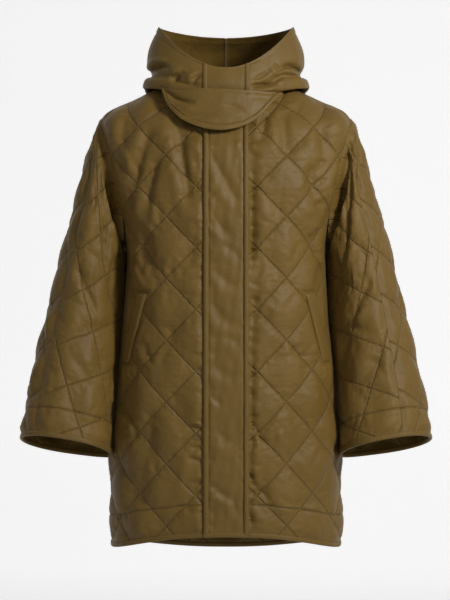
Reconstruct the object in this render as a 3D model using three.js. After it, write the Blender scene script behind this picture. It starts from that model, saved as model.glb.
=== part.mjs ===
// A hooded quilted jacket, filled out as if worn, in millimetres, +Z up.
// It faces -Y, +X is its wearer's left, and the origin lies between the shoulders, where the wearer
// holds it up. Each cut piece of cloth is a closed wall: a plain inside, and quilting raised outside.

import * as THREE from 'three';

// Driving sizes
const SEAM_GAP = 0.3;
const INSIDE = -4; // inner face of the quilted wall, below its outline
const STITCHED = -2; // outer face along a quilting line
const COVERED = -2.3; // outer face under a placket or a welt
const COVER_MARGIN = 2; // the covered cloth reaches this far past what lies on it
const PUFF = 4.6; // rise of a diamond above its stitched lines
const QUILT = 75.5; // side of a quilting square, sewn at 45 degrees to the grain
const CELLS = 3; // mesh cells along one side of a square
const QUILT_ON_BODY = { turn: 0, shift: { s: 0, t: 44.4 } }; // a crossing of the quilting lines
const PUFF_FADE = 16; // quilting flattens over this distance from a seam
const PLAIN_WALL = 2.4; // unquilted cloth of the hood and flap
const PLACKET_WIDTH = 78;
const PLACKET_OUTSIDE = 1.2; // its outer face, above the body's outline
const EDGE_WIDTH = 8; // bound edges of the placket and collar
const EDGE_WALL = 1.4;
// Hem and cuff bindings: half sizes, corners round, steps along each, and their middle before the wall's
const BINDING = { height: 4.2, depth: 2.8, sides: 6, steps: { hem: 46, foot: 6, cuff: 26 }, outside: 0.3 };
const FOOT_BINDING = { further_out: 1.4, deeper: 1.2 }; // under the placket it stands out and is thicker
const CELL = QUILT / CELLS;
const EDGE_STEP = 23; // length of a piece's outline between two of its points
const EDGE_CLEAR = 0.42; // the quilting's mesh keeps this share of a cell from a piece's edge
const EDGE_CIRCLE = 0.56; // and this share of an edge's length from the edge's middle
const COVER_CLEAR = 0.62; // and this share of a cell from the edge of what lies on a piece

// The body, ring by ring from hem to neck. z is at the side seam, and the lifts raise a ring at the
// centre front and centre back. square is the exponent of the ring's superellipse.
const BODY_RINGS = [
  { z: -804, lift_front: 36, lift_back: -32, half_width: 205, front: 150, back: 165, side_y: 5, square: 2.3 },
  { z: -705, lift_front: 24, lift_back: -20, half_width: 206, front: 150, back: 162, side_y: 5, square: 2.3 },
  { z: -610, lift_front: 19, lift_back: -16, half_width: 204, front: 149, back: 157, side_y: 5, square: 2.3 },
  { z: -500, lift_front: 13, lift_back: -11, half_width: 195, front: 146, back: 149, side_y: 5, square: 2.35 },
  { z: -385, lift_front: 7, lift_back: -6, half_width: 184, front: 140, back: 139, side_y: 5, square: 2.4 },
  { z: -262, lift_front: 0, lift_back: 0, half_width: 180, front: 134, back: 130, side_y: 6, square: 2.45 },
  { z: -181, lift_front: 0, lift_back: 0, half_width: 205, front: 130, back: 126, side_y: 8, square: 2.4 },
  { z: -110, lift_front: 2, lift_back: 2, half_width: 222, front: 121, back: 121, side_y: 10, square: 2.3 },
  { z: -43, lift_front: -38, lift_back: -24, half_width: 222, front: 112, back: 112, side_y: 12, square: 2.1 },
  { z: -8, lift_front: -53, lift_back: -19, half_width: 160, front: 101, back: 98, side_y: 12, square: 2.0 },
  { z: 22, lift_front: -68, lift_back: -12, half_width: 92, front: 88, back: 80, side_y: 10, square: 2.0 },
];
const UNDERARM = 5;
const SHOULDER = 8;
const NECK = 10;
const ARMHOLE_SPREAD = deg(24); // how far the armhole reaches round from the side seam

// The sleeve, ring by ring from its spring at the armhole to the cuff. outer and inner are the ring's
// ends in the front view, and pitch lowers its back as the arm reaches forward.
const SLEEVE_SPRING = 15;
const SLEEVE_RINGS = [
  { outer_x: 254, outer_z: -138, inner_x: 180, inner_z: -296, mid_y: 4, half_depth: 72, pitch: 0.02 },
  { outer_x: 277, outer_z: -222, inner_x: 183, inner_z: -348, mid_y: 0, half_depth: 74, pitch: 0.05 },
  { outer_x: 299, outer_z: -312, inner_x: 187.5, inner_z: -407, mid_y: -6, half_depth: 76, pitch: 0.1 },
  { outer_x: 320, outer_z: -402, inner_x: 194, inner_z: -467, mid_y: -16, half_depth: 78, pitch: 0.16 },
  { outer_x: 340, outer_z: -488, inner_x: 202, inner_z: -531, mid_y: -30, half_depth: 79, pitch: 0.22 },
  { outer_x: 354, outer_z: -558, inner_x: 203, inner_z: -590, mid_y: -45, half_depth: 79, pitch: 0.27 },
  { outer_x: 362, outer_z: -611, inner_x: 207, inner_z: -634, mid_y: -56, half_depth: 78, pitch: 0.3 },
];
const SLEEVE_SQUARE = 2.15;
const CUFF = SLEEVE_RINGS.length + 1;
const SLEEVE_QUILT_TURN = deg(18); // the sleeve's grain leans out from its own length
const SLEEVE_QUILT_SHIFT = { s: 15.5, t: 9.5 };
const SEAM_TURN = { left: { top: 60, cuff: 76 }, right: { top: 45, cuff: 52 } }; // forearm seam, degrees
const ARMHOLE_STEP = 15; // degrees between points along the armhole, on the body and on the sleeve

// The hood thrown back, ring by ring from just above the neck seam to its rim, with each ring's half
// width and depths and its height at the front, side and back. The back of it hangs as a pouch.
const HOOD_RINGS = [
  { half_width: 99, front: 87, back: 88, z_front: -32, z_side: 27, z_back: 20 },
  { half_width: 120, front: 91, back: 112, z_front: -20, z_side: 22, z_back: -4 },
  { half_width: 138, front: 94, back: 134, z_front: -8, z_side: 11, z_back: -74 },
  { half_width: 148, front: 96, back: 158, z_front: 3, z_side: 9, z_back: -108 },
  { half_width: 145, front: 96, back: 186, z_front: 13, z_side: 23, z_back: -82 },
  { half_width: 134, front: 94, back: 193, z_front: 21, z_side: 32, z_back: -28 },
  { half_width: 140, front: 91, back: 184, z_front: 28, z_side: 49, z_back: 30 },
  { half_width: 137, front: 88, back: 160, z_front: 35, z_side: 78, z_back: 78 },
  { half_width: 120, front: 85, back: 126, z_front: 42, z_side: 118, z_back: 106 },
];
const NECK_SEAM = { out: 0.6, up: 0.7 }; // the hood starts this far out from the neck's cut edge and above it
const HOOD_AXIS_Y = 10;
const RIM = HOOD_RINGS.length;
const HOOD_STEPS = { around: 14, up: 18 };
const COLLAR_SPLIT = 37; // from the centre line to the seam between the collar panel and the hood

// The throat flap's outline in the front view, from its sewn end to its fastened end. out is how far
// its outer face stands before the plane of the shoulders, at its top and its bottom.
const FLAP_OUTLINE = [
  { x: -112, top: 14, bottom: 1, out_top: 56.5, out_bottom: 57 },
  { x: -103, top: 11, bottom: -22, out_top: 65, out_bottom: 73 },
  { x: -92, top: 9, bottom: -36, out_top: 72, out_bottom: 84 },
  { x: -77, top: 7, bottom: -49, out_top: 81, out_bottom: 95 },
  { x: -59, top: 6, bottom: -58, out_top: 89, out_bottom: 103 },
  { x: -36, top: 5, bottom: -65, out_top: 95, out_bottom: 109 },
  { x: -8, top: 4, bottom: -68, out_top: 98, out_bottom: 112 },
  { x: 20, top: 2, bottom: -64, out_top: 97, out_bottom: 110 },
  { x: 44, top: 1, bottom: -54, out_top: 93, out_bottom: 105 },
  { x: 60, top: 0, bottom: -42, out_top: 87, out_bottom: 98 },
  { x: 73, top: -1, bottom: -28, out_top: 81, out_bottom: 89 },
  { x: 86, top: -1, bottom: -14, out_top: 73, out_bottom: 77 },
  { x: 98, top: -2, bottom: -7, out_top: 64, out_bottom: 64 },
];
const FLAP_STEPS = 6;

// The largest folds of the body, as soft troughs from one point of the front view to another.
const BODY_FOLDS = [
  { x: 51, top: -70, foot_x: 50, foot: -380, width: 13, depth: 6 },
  { x: 103, top: -40, foot_x: 103, foot: -150, width: 13, depth: 4.5 },
  { x: 160, top: -50, foot_x: 152, foot: -190, width: 14, depth: 5 },
  { x: -78, top: -40, foot_x: -68, foot: -150, width: 13, depth: 5 },
  { x: -118, top: -90, foot_x: -134, foot: -210, width: 13, depth: 5 },
  { x: -122, top: -230, foot_x: -122, foot: -330, width: 12, depth: 3.5 },
  { x: 56, top: -420, foot_x: 50, foot: -700, width: 13, depth: 4 },
];

// The pocket welts, on the front: top and bottom corners measured along the cloth from centre front.
const WELT = { inner_top: 146, outer_top: 172, inner_foot: 190, outer_foot: 216, top: -352, foot: -474 };
const WELT_OUTSIDE = 1.6; // its outer face, above the body's outline
const WELT_STEPS = { across: 2, down: 6 };

const cloth = (colour, roughness) =>
  new THREE.MeshStandardMaterial({ color: colour, roughness, metalness: 0 });
const shellCloth = cloth(0x6e5a33, 0.62);
const plainCloth = cloth(0x725d36, 0.6);
const tape = cloth(0x69552f, 0.66);

function deg(angle) {
  return (angle * Math.PI) / 180;
}

function mix(a, b, share) {
  return a + (b - a) * share;
}

function ease(share) {
  const inside = Math.min(Math.max(share, 0), 1);
  return inside * inside * (3 - 2 * inside);
}

function power(value, exponent) {
  return Math.sign(value) * Math.abs(value) ** exponent;
}

// A smooth curve from b to c, at a share of the way, with a before them and d after them.
function curve(a, b, c, d, share) {
  const bend = 2 * a - 5 * b + 4 * c - d + share * (3 * (b - c) + d - a);
  return b + 0.5 * share * (c - a + share * bend);
}

// A smooth curve through values that sit at whole numbers, read at any place between them.
function through(valueAt, last, at) {
  const i = THREE.MathUtils.clamp(Math.floor(at), 0, last - 1);
  const value = (k) => {
    if (k < 0) return 2 * valueAt(0) - valueAt(1);
    if (k > last) return 2 * valueAt(last) - valueAt(last - 1);
    return valueAt(k);
  };
  return curve(value(i - 1), value(i), value(i + 1), value(i + 2), at - i);
}

function column(rows, name, at) {
  return through((k) => rows[k][name], rows.length - 1, at);
}

// Depth of the folds at a point of the front, as seen from the front.
function foldDepth(x, z) {
  let depth = 0;
  for (const fold of BODY_FOLDS) {
    const share = (fold.top - z) / (fold.top - fold.foot);
    if (share < 0 || share > 1) continue;
    const middle = mix(fold.x, fold.foot_x, share);
    const ends = Math.sin(Math.PI * share) ** 0.7;
    depth += fold.depth * ends * Math.exp(-(((x - middle) / fold.width) ** 2));
  }
  return depth;
}

// A point of the body's outline. turn is 0 at centre front and 90 degrees at the +X side seam. The
// +X half stands for the -X half too, and takes that half's folds where hand is -1.
function bodyPoint(turn, level, hand = 1) {
  const at = (name) => column(BODY_RINGS, name, level);
  const exponent = 2 / at('square');
  const c = Math.cos(turn);
  const inFront = c > 0;
  const x = at('half_width') * power(Math.sin(turn), exponent);
  const z = at('z') + at(inFront ? 'lift_front' : 'lift_back') * c * c;
  const folded = inFront ? foldDepth(hand * x, z) * ease(c * 3) : 0;
  const y = at('side_y') - at(inFront ? 'front' : 'back') * power(c, exponent) + folded;
  return new THREE.Vector3(x, y, z);
}

// The armhole on the +X side: turn 0 is its top, 90 degrees its front and 180 degrees the underarm.
function armhole(turn) {
  const level = (SHOULDER + UNDERARM) / 2 + ((SHOULDER - UNDERARM) / 2) * Math.cos(turn);
  return { turn: Math.PI / 2 - ARMHOLE_SPREAD * Math.sin(turn), level };
}

// Where a sleeve that leaves in a given way is sewn on, so that its outer face meets the body's.
function armholeSeam(turn, way) {
  const edgePoint = (at) => bodyPoint(armhole(at).turn, armhole(at).level);
  const tangent = edgePoint(turn + 0.01).sub(edgePoint(turn - 0.01));
  const outward = tangent.cross(way).normalize();
  const { turn: bodyTurn, level } = armhole(turn);
  const normal = normalOf(bodyPoint, bodyTurn, level, 1);
  return edgePoint(turn).addScaledVector(normal, STITCHED).addScaledVector(outward, -STITCHED);
}

function sleeveRing(ring, turn) {
  const c = Math.cos(turn);
  const s = Math.sin(turn);
  if (ring < 2) {
    const top = Math.pow((1 + c) / 2, 1.5);
    const way = new THREE.Vector3(mix(1, 0.5, top), -0.12 * s, mix(-0.1, -0.87, top)).normalize();
    return armholeSeam(turn, way).addScaledVector(way, ring * SLEEVE_SPRING);
  }
  const row = SLEEVE_RINGS[ring - 2];
  const across = power(c, 2 / SLEEVE_SQUARE);
  const forward = row.half_depth * power(s, 2 / SLEEVE_SQUARE);
  const x = mix(row.inner_x, row.outer_x, (1 + across) / 2);
  const z = mix(row.inner_z, row.outer_z, (1 + across) / 2);
  return new THREE.Vector3(x, row.mid_y - forward, z + row.pitch * forward);
}

// Where the hood is sewn on: just past the cut edge of the body's neck, in line with its outer face.
function neckSeam(turn) {
  const normal = normalOf(bodyPoint, turn, NECK - 0.02, 1);
  const edge = bodyPoint(turn, NECK);
  const rise = edge.clone().sub(bodyPoint(turn, NECK - 0.02)).normalize();
  return edge.addScaledVector(normal, STITCHED + NECK_SEAM.out).addScaledVector(rise, NECK_SEAM.up);
}

function hoodRing(ring, turn) {
  if (ring < 1) return neckSeam(turn);
  const row = HOOD_RINGS[ring - 1];
  const c = Math.cos(turn);
  const inFront = c > 0;
  const y = HOOD_AXIS_Y - (inFront ? row.front : row.back) * c;
  const z = mix(row.z_side, inFront ? row.z_front : row.z_back, c * c);
  return new THREE.Vector3(row.half_width * Math.sin(turn), y, z);
}

// A smooth surface through rings. ringPoint gives a ring's point at a turn.
function lofted(ringPoint, last) {
  return (turn, ring) => {
    const first = THREE.MathUtils.clamp(Math.floor(ring), 0, last - 1);
    const near = [-1, 0, 1, 2].map((k) => ringPoint(THREE.MathUtils.clamp(first + k, 0, last), turn));
    if (first === 0) near[0] = near[1].clone().multiplyScalar(2).sub(near[2]);
    if (first === last - 1) near[3] = near[2].clone().multiplyScalar(2).sub(near[1]);
    const along = (axis) => curve(...near.map((point) => point[axis]), ring - first);
    return new THREE.Vector3(along('x'), along('y'), along('z'));
  };
}

// The hood: turn is 0 at centre front, 90 degrees at the +X side and 180 degrees at centre back.
const hoodPoint = lofted(hoodRing, RIM);
const sleevePoint = lofted(sleeveRing, CUFF);

// The turn at which a ring of a surface comes to a given x, near centre front.
function turnAtX(surface, x, ring) {
  if (x === 0) return 0;
  let turn = x / 100;
  for (let step = 0; step < 12; step += 1) turn *= x / surface(turn, ring).x;
  return turn;
}

// The outward normal of a surface, from its slopes. side is 1 or -1.
function normalOf(surface, u, v, side) {
  const step = 0.012;
  const across = surface(u + step, v).sub(surface(u - step, v));
  const along = surface(u, v + step).sub(surface(u, v - step));
  return across.cross(along).normalize().multiplyScalar(side);
}

// The flat cloth of a surface: s runs across from one grain line and t up it, as lengths on the
// surface, so that quilting drawn in s and t keeps its size.
class FlatCloth {
  constructor(surface, acrossRange, alongRange, grainRow) {
    this.surface = surface;
    this.u = acrossRange;
    this.v = alongRange;
    this.count = 48;
    this.rows = 120;
    const grid = [];
    for (let j = 0; j <= this.rows; j += 1) {
      const row = [];
      for (let i = 0; i <= this.count; i += 1) {
        row.push(surface(this.uAt(i), this.vAt(j)));
      }
      grid.push(row);
    }
    this.s = grid.map((row) => {
      const lengths = [0];
      for (let i = 1; i <= this.count; i += 1) lengths.push(lengths[i - 1] + row[i].distanceTo(row[i - 1]));
      return lengths;
    });
    this.t = grid.map(() => new Array(this.count + 1).fill(0));
    const home = Math.round(((grainRow - this.v[0]) / (this.v[1] - this.v[0])) * this.rows);
    const height = (i, j) => {
      const length = grid[j][i].distanceTo(grid[j - 1][i]);
      const slide = this.s[j][i] - this.s[j - 1][i];
      return Math.sqrt(Math.max(length * length - slide * slide, 0));
    };
    for (let i = 0; i <= this.count; i += 1) {
      for (let j = home + 1; j <= this.rows; j += 1) this.t[j][i] = this.t[j - 1][i] + height(i, j);
      for (let j = home; j > 0; j -= 1) this.t[j - 1][i] = this.t[j][i] - height(i, j);
    }
  }

  uAt(i) {
    return mix(this.u[0], this.u[1], i / this.count);
  }

  vAt(j) {
    return mix(this.v[0], this.v[1], j / this.rows);
  }

  read(table, u, v) {
    const x = ((u - this.u[0]) / (this.u[1] - this.u[0])) * this.count;
    const y = ((v - this.v[0]) / (this.v[1] - this.v[0])) * this.rows;
    const i = Math.min(Math.max(Math.floor(x), 0), this.count - 1);
    const j = Math.min(Math.max(Math.floor(y), 0), this.rows - 1);
    const low = mix(table[j][i], table[j][i + 1], x - i);
    const high = mix(table[j + 1][i], table[j + 1][i + 1], x - i);
    return mix(low, high, y - j);
  }

  flat(u, v) {
    return { s: this.read(this.s, u, v), t: this.read(this.t, u, v) };
  }

  // The place on the surface of a point of the flat cloth.
  find(s, t) {
    let [u, v] = [this.u[0], mix(this.v[0], this.v[1], 0.5)];
    const [du, dv] = [(this.u[1] - this.u[0]) / 500, (this.v[1] - this.v[0]) / 500];
    for (let step = 0; step < 40; step += 1) {
      const here = this.flat(u, v);
      const slopeU = (this.flat(u + du, v).s - here.s) / du;
      u += (0.8 * (s - here.s)) / slopeU;
      u = THREE.MathUtils.clamp(u, Math.min(...this.u), Math.max(...this.u));
      const there = this.flat(u, v);
      const slopeV = (this.flat(u, v + dv).t - there.t) / dv;
      v += (0.8 * (t - there.t)) / slopeV;
      v = THREE.MathUtils.clamp(v, Math.min(...this.v), Math.max(...this.v));
    }
    return { u, v };
  }
}

// Delaunay triangles of flat points, each given as [s, t].
function triangulate(points) {
  const far = 1e5;
  const all = [...points, [-far, -far], [far, -far], [0, far]];
  const circle = (a, b, c) => {
    const [ax, ay] = all[a];
    const [bx, by] = [all[b][0] - ax, all[b][1] - ay];
    const [cx, cy] = [all[c][0] - ax, all[c][1] - ay];
    const cross = 2 * (bx * cy - by * cx);
    const x = (cy * (bx * bx + by * by) - by * (cx * cx + cy * cy)) / cross;
    const y = (bx * (cx * cx + cy * cy) - cx * (bx * bx + by * by)) / cross;
    return { corners: [a, b, c], x: x + ax, y: y + ay, r2: x * x + y * y };
  };
  let triangles = [circle(points.length, points.length + 1, points.length + 2)];
  points.forEach(([x, y], index) => {
    const edges = new Map();
    const kept = [];
    for (const t of triangles) {
      if ((x - t.x) ** 2 + (y - t.y) ** 2 >= t.r2) {
        kept.push(t);
        continue;
      }
      for (let k = 0; k < 3; k += 1) {
        const [a, b] = [t.corners[k], t.corners[(k + 1) % 3]];
        const back = `${b},${a}`;
        if (edges.has(back)) edges.delete(back);
        else edges.set(`${a},${b}`, [a, b]);
      }
    }
    for (const [a, b] of edges.values()) kept.push(circle(a, b, index));
    triangles = kept;
  });
  return triangles.map((t) => t.corners).filter((c) => c.every((k) => k < points.length));
}

function insidePolygon([x, y], polygon) {
  let inside = false;
  for (let i = 0, j = polygon.length - 1; i < polygon.length; j = i, i += 1) {
    const [xi, yi] = polygon[i];
    const [xj, yj] = polygon[j];
    if (yi > y !== yj > y && x < ((xj - xi) * (y - yi)) / (yj - yi) + xi) inside = !inside;
  }
  return inside;
}

function edgeDistance([x, y], polygon) {
  let least = Infinity;
  for (let i = 0, j = polygon.length - 1; i < polygon.length; j = i, i += 1) {
    const [ax, ay] = polygon[j];
    const [bx, by] = [polygon[i][0] - ax, polygon[i][1] - ay];
    const share = THREE.MathUtils.clamp(((x - ax) * bx + (y - ay) * by) / (bx * bx + by * by), 0, 1);
    least = Math.min(least, Math.hypot(x - ax - share * bx, y - ay - share * by));
  }
  return least;
}

// A closed solid from outer and inner points that share one triangulation.
function wall(outer, inner, triangles, mirrored) {
  const count = outer.length;
  const faces = [];
  const open = new Map();
  for (const [a, b, c] of triangles) {
    faces.push([a, b, c], [a + count, c + count, b + count]);
    for (const [from, to] of [[a, b], [b, c], [c, a]]) {
      if (open.has(`${to},${from}`)) open.delete(`${to},${from}`);
      else open.set(`${from},${to}`, [from, to]);
    }
  }
  for (const [from, to] of open.values()) {
    faces.push([from, from + count, to], [to, from + count, to + count]);
  }
  const points = [...outer, ...inner];
  const flip = mirrored ? -1 : 1;
  const position = points.flatMap((p) => [p.x * flip, p.y, p.z]);
  let volume = 0;
  for (const [a, b, c] of faces) volume += points[a].dot(points[b].clone().cross(points[c]));
  const turned = volume * flip < 0;
  const geometry = new THREE.BufferGeometry();
  geometry.setAttribute('position', new THREE.Float32BufferAttribute(position, 3));
  geometry.setIndex(faces.flatMap(([a, b, c]) => (turned ? [a, c, b] : [a, b, c])));
  geometry.computeVertexNormals();
  return geometry;
}

// Height of the quilting over its stitched lines, from 0 to 1, at a point of the flat cloth.
function quiltRise(s, t, turn, shift) {
  const [x, y] = [s - shift.s, t - shift.t];
  const p = x * Math.cos(turn + Math.PI / 4) + y * Math.sin(turn + Math.PI / 4);
  const q = -x * Math.sin(turn + Math.PI / 4) + y * Math.cos(turn + Math.PI / 4);
  const rise = (length) => {
    const away = Math.abs(length - Math.round(length / QUILT) * QUILT);
    return Math.min(1, away / CELL);
  };
  return rise(p) * rise(q);
}

// Points of the quilting's own mesh, inside a piece's outline on the flat cloth.
function quiltPoints(outline, turn, shift) {
  const reach = Math.max(...outline.map(([s, t]) => Math.hypot(s - shift.s, t - shift.t)));
  const count = Math.ceil(reach / CELL) + 1;
  const [c, k] = [Math.cos(turn + Math.PI / 4), Math.sin(turn + Math.PI / 4)];
  const middles = outline.map(([s, t], i) => {
    const [s2, t2] = outline[(i + 1) % outline.length];
    return [(s + s2) / 2, (t + t2) / 2, EDGE_CIRCLE * Math.hypot(s2 - s, t2 - t)];
  });
  const found = [];
  for (let i = -count; i <= count; i += 1) {
    for (let j = -count; j <= count; j += 1) {
      const point = [shift.s + CELL * (i * c - j * k), shift.t + CELL * (i * k + j * c)];
      if (!insidePolygon(point, outline)) continue;
      const clear = middles.every(([s, t, r]) => Math.hypot(point[0] - s, point[1] - t) > r);
      if (clear && edgeDistance(point, outline) > CELL * EDGE_CLEAR) found.push(point);
    }
  }
  return found;
}

// One quilted piece. edge is its outline as places on the surface, in order. covers are what lies on
// it, each with the places under its edge and a test of what it holds. Places at a negative u mirror
// those at a positive one.
function quiltedPiece({ flatCloth, edge, side, turn, shift, covers = [], mirrored }) {
  const flatten = ({ u, v }) => {
    const { s, t } = flatCloth.flat(Math.abs(u), v);
    return [u < 0 ? -s : s, t];
  };
  const outline = edge.map(flatten);
  const underEdges = covers.flatMap((cover) => cover.places);
  const covered = ([s, t]) => covers.some((cover) => cover.holds(s, t));
  const fixed = underEdges.map(flatten);
  const open = quiltPoints(outline, turn, shift).filter(([s, t]) => {
    const clear = fixed.every((point) => Math.hypot(point[0] - s, point[1] - t) > CELL * COVER_CLEAR);
    return clear && !covered([s, t]);
  });
  const places = [...edge, ...underEdges];
  for (const [s, t] of open) {
    const found = flatCloth.find(Math.abs(s), t);
    places.push({ u: s < 0 ? -found.u : found.u, v: found.v });
  }
  const flats = [...outline, ...fixed, ...open];
  const nudged = flats.map(([s, t]) => [s + 1e-5 * t * t, t + 1e-5 * s * t]);
  const triangles = triangulate(nudged).filter((corners) => {
    const middle = [0, 1].map((k) => corners.reduce((sum, c) => sum + flats[c][k], 0) / 3);
    return insidePolygon(middle, outline);
  });
  const outerPoints = [];
  const innerPoints = [];
  places.forEach(({ u, v }, index) => {
    const point = flatCloth.surface(u, v);
    const normal = normalOf(flatCloth.surface, u, v, side);
    const [s, t] = flats[index];
    const fade = index < edge.length ? 0 : ease(edgeDistance(flats[index], outline) / PUFF_FADE);
    const height = STITCHED + PUFF * fade * quiltRise(s, t, turn, shift);
    outerPoints.push(point.clone().addScaledVector(normal, covered([s, t]) ? COVERED : height));
    innerPoints.push(point.clone().addScaledVector(normal, INSIDE));
  });
  return wall(outerPoints, innerPoints, triangles, mirrored);
}

// Places along a line on the surface, about a cell apart, without the last one.
function line(surface, from, to) {
  const place = (share) => ({ u: mix(from.u, to.u, share), v: mix(from.v, to.v, share) });
  const fine = 60;
  let length = 0;
  for (let k = 0; k < fine; k += 1) {
    const [a, b] = [place(k / fine), place((k + 1) / fine)];
    length += surface(a.u, a.v).distanceTo(surface(b.u, b.v));
  }
  const steps = Math.max(Math.round(length / EDGE_STEP), 1);
  return Array.from({ length: steps }, (_, k) => place(k / steps));
}

function outlineOf(surface, corners) {
  return corners.flatMap((corner, index) => {
    const next = corners[(index + 1) % corners.length];
    return corner.stops ?? line(surface, corner, next);
  });
}

// A place on a surface as the outer and inner points of a wall, at two heights above it.
function layer(surface, u, v, side, outside, inside) {
  const normal = normalOf(surface, u, v, side);
  const point = surface(u, v);
  return {
    outer: point.clone().addScaledVector(normal, outside),
    inner: point.clone().addScaledVector(normal, inside),
  };
}

// A plain strip or panel from a grid of points: rows of outer points and rows of inner ones.
function gridWall(rows, mirrored) {
  const wide = rows[0].length;
  const triangles = [];
  for (let j = 0; j + 1 < rows.length; j += 1) {
    for (let i = 0; i + 1 < wide; i += 1) {
      const a = j * wide + i;
      triangles.push([a, a + 1, a + wide + 1], [a, a + wide + 1, a + wide]);
    }
  }
  const outer = rows.flat().map((cell) => cell.outer);
  const inner = rows.flat().map((cell) => cell.inner);
  return wall(outer, inner, triangles, mirrored);
}

// A rounded rib along a closed or open run of frames: at is its middle, out and down its two ways.
function rib(frames, halfHeight, halfDepth, closed, mirrored) {
  const round = BINDING.sides;
  const points = [];
  for (const { at, out, down } of frames) {
    for (let k = 0; k < round; k += 1) {
      const angle = ((k + 0.5) / round) * Math.PI * 2;
      const point = at.clone().addScaledVector(out, halfDepth * power(Math.cos(angle), 0.6));
      points.push(point.addScaledVector(down, halfHeight * power(Math.sin(angle), 0.6)));
    }
  }
  const faces = [];
  const last = closed ? frames.length : frames.length - 1;
  for (let j = 0; j < last; j += 1) {
    const next = (j + 1) % frames.length;
    for (let k = 0; k < round; k += 1) {
      const [a, b] = [j * round + k, j * round + ((k + 1) % round)];
      const [c, d] = [next * round + ((k + 1) % round), next * round + k];
      faces.push([a, b, c], [a, c, d]);
    }
  }
  if (!closed) {
    const end = (frames.length - 1) * round;
    for (let k = 1; k + 1 < round; k += 1) faces.push([0, k + 1, k], [end, end + k, end + k + 1]);
  }
  let volume = 0;
  for (const [a, b, c] of faces) volume += points[a].dot(points[b].clone().cross(points[c]));
  const flip = mirrored ? -1 : 1;
  const turned = volume * flip < 0;
  const geometry = new THREE.BufferGeometry();
  const position = points.flatMap((p) => [p.x * flip, p.y, p.z]);
  geometry.setAttribute('position', new THREE.Float32BufferAttribute(position, 3));
  geometry.setIndex(faces.flatMap(([a, b, c]) => (turned ? [a, c, b] : [a, b, c])));
  geometry.computeVertexNormals();
  return geometry;
}

const jacket = new THREE.Group();

function add(name, geometry, material) {
  const mesh = new THREE.Mesh(geometry, material);
  mesh.name = name;
  jacket.add(mesh);
}

// The front body. hand is 1 for the +X front and -1 for the -X one.
const HALF_SEAM = deg(0.1);
const CENTRE_GAP = deg(0.2);
const BINDING_LEVEL = 0.105; // the body's cloth stops here, and the hem binding fills the rest
const HEM_BINDING_LEVEL = 0.047; // the middle of the hem binding
const sideTurn = Math.PI / 2 - HALF_SEAM;
const placketLevels = spread(BINDING_LEVEL, NECK, 30);
const hoodLevels = spread(0.05, RIM, HOOD_STEPS.up);

function armholeStops() {
  return spread(180, 0, 180 / ARMHOLE_STEP).slice(0, -1).map((turn) => {
    const edge = armhole(deg(turn));
    return { u: Math.min(edge.turn, sideTurn), v: edge.level };
  });
}

// Half of a body piece's outline, from the hem's middle out and up to the middle of the neck.
function bodyOutline(surface, middle) {
  return outlineOf(surface, [
    { u: middle, v: BINDING_LEVEL },
    { u: sideTurn, v: BINDING_LEVEL },
    { u: sideTurn, v: UNDERARM, stops: armholeStops() },
    { u: sideTurn, v: SHOULDER },
    { u: sideTurn, v: NECK },
    { u: middle, v: NECK, stops: placketLevels.toReversed().slice(0, -1).map((v) => ({ u: middle, v })) },
  ]);
}

function weltEdges(down) {
  return {
    inner: mix(WELT.inner_top, WELT.inner_foot, down),
    outer: mix(WELT.outer_top, WELT.outer_foot, down),
  };
}

// What lies on a front: half of the placket, and its pocket's welt.
function frontCovers(surface, flatCloth) {
  const reach = PLACKET_WIDTH / 2 + COVER_MARGIN;
  const besidePlacket = placketLevels.slice(1, -1).map((v) => ({ u: turnAtX(surface, reach, v), v }));
  const placket = { places: besidePlacket, holds: (s) => s < reach + COVER_MARGIN };
  const depth = WELT.top - WELT.foot;
  const down = (t) => (WELT.top - BODY_RINGS[UNDERARM].z - t) / depth;
  const margin = COVER_MARGIN / depth;
  const besideWelt = spread(-margin, 1 + margin, WELT_STEPS.down).flatMap((share) => {
    const { inner, outer } = weltEdges(share);
    const t = mix(WELT.top, WELT.foot, share) - BODY_RINGS[UNDERARM].z;
    const ss = spread(inner - COVER_MARGIN, outer + COVER_MARGIN, 2);
    return ss.map((s) => flatCloth.find(s, t));
  });
  const holds = (s, t) => {
    const { inner, outer } = weltEdges(down(t));
    const within = Math.max(inner - s, s - outer, (Math.abs(down(t) - 0.5) - 0.5) * depth);
    return within < 1.5 * COVER_MARGIN;
  };
  return [placket, { places: besideWelt, holds }];
}

function addFront(name, hand) {
  const surface = (u, v) => bodyPoint(u, v, hand);
  const flatCloth = new FlatCloth(surface, [0, Math.PI / 2], [0, NECK], UNDERARM);
  const edge = bodyOutline(surface, CENTRE_GAP);
  const mirrored = hand < 0;
  const covers = frontCovers(surface, flatCloth);
  const piece = { flatCloth, edge, side: 1, covers, mirrored, ...QUILT_ON_BODY };
  add(`front_${name}`, quiltedPiece(piece), shellCloth);

  const rows = spread(0, 1, WELT_STEPS.down).map((down) => {
    const { inner, outer } = weltEdges(down);
    const t = mix(WELT.top, WELT.foot, down) - BODY_RINGS[UNDERARM].z;
    return spread(inner, outer, WELT_STEPS.across).map((s) => {
      const { u, v } = flatCloth.find(s, t);
      return layer(surface, u, v, 1, WELT_OUTSIDE, STITCHED + SEAM_GAP);
    });
  });
  add(`pocket_welt_${name}`, gridWall(rows, mirrored), shellCloth);
}

function addBack() {
  const surface = (u, v) => bodyPoint(Math.PI - u, v);
  const flatCloth = new FlatCloth(surface, [0, Math.PI / 2], [0, NECK], UNDERARM);
  const half = bodyOutline(surface, 0);
  const top = half.findIndex(({ u, v }) => u === 0 && v === NECK);
  const right = half.slice(0, top + 1);
  const left = right.slice(1, -1).reverse().map(({ u, v }) => ({ u: -u, v }));
  const piece = { flatCloth, edge: [...right, ...left], side: -1, ...QUILT_ON_BODY };
  add('back', quiltedPiece(piece), shellCloth);
}

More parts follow.
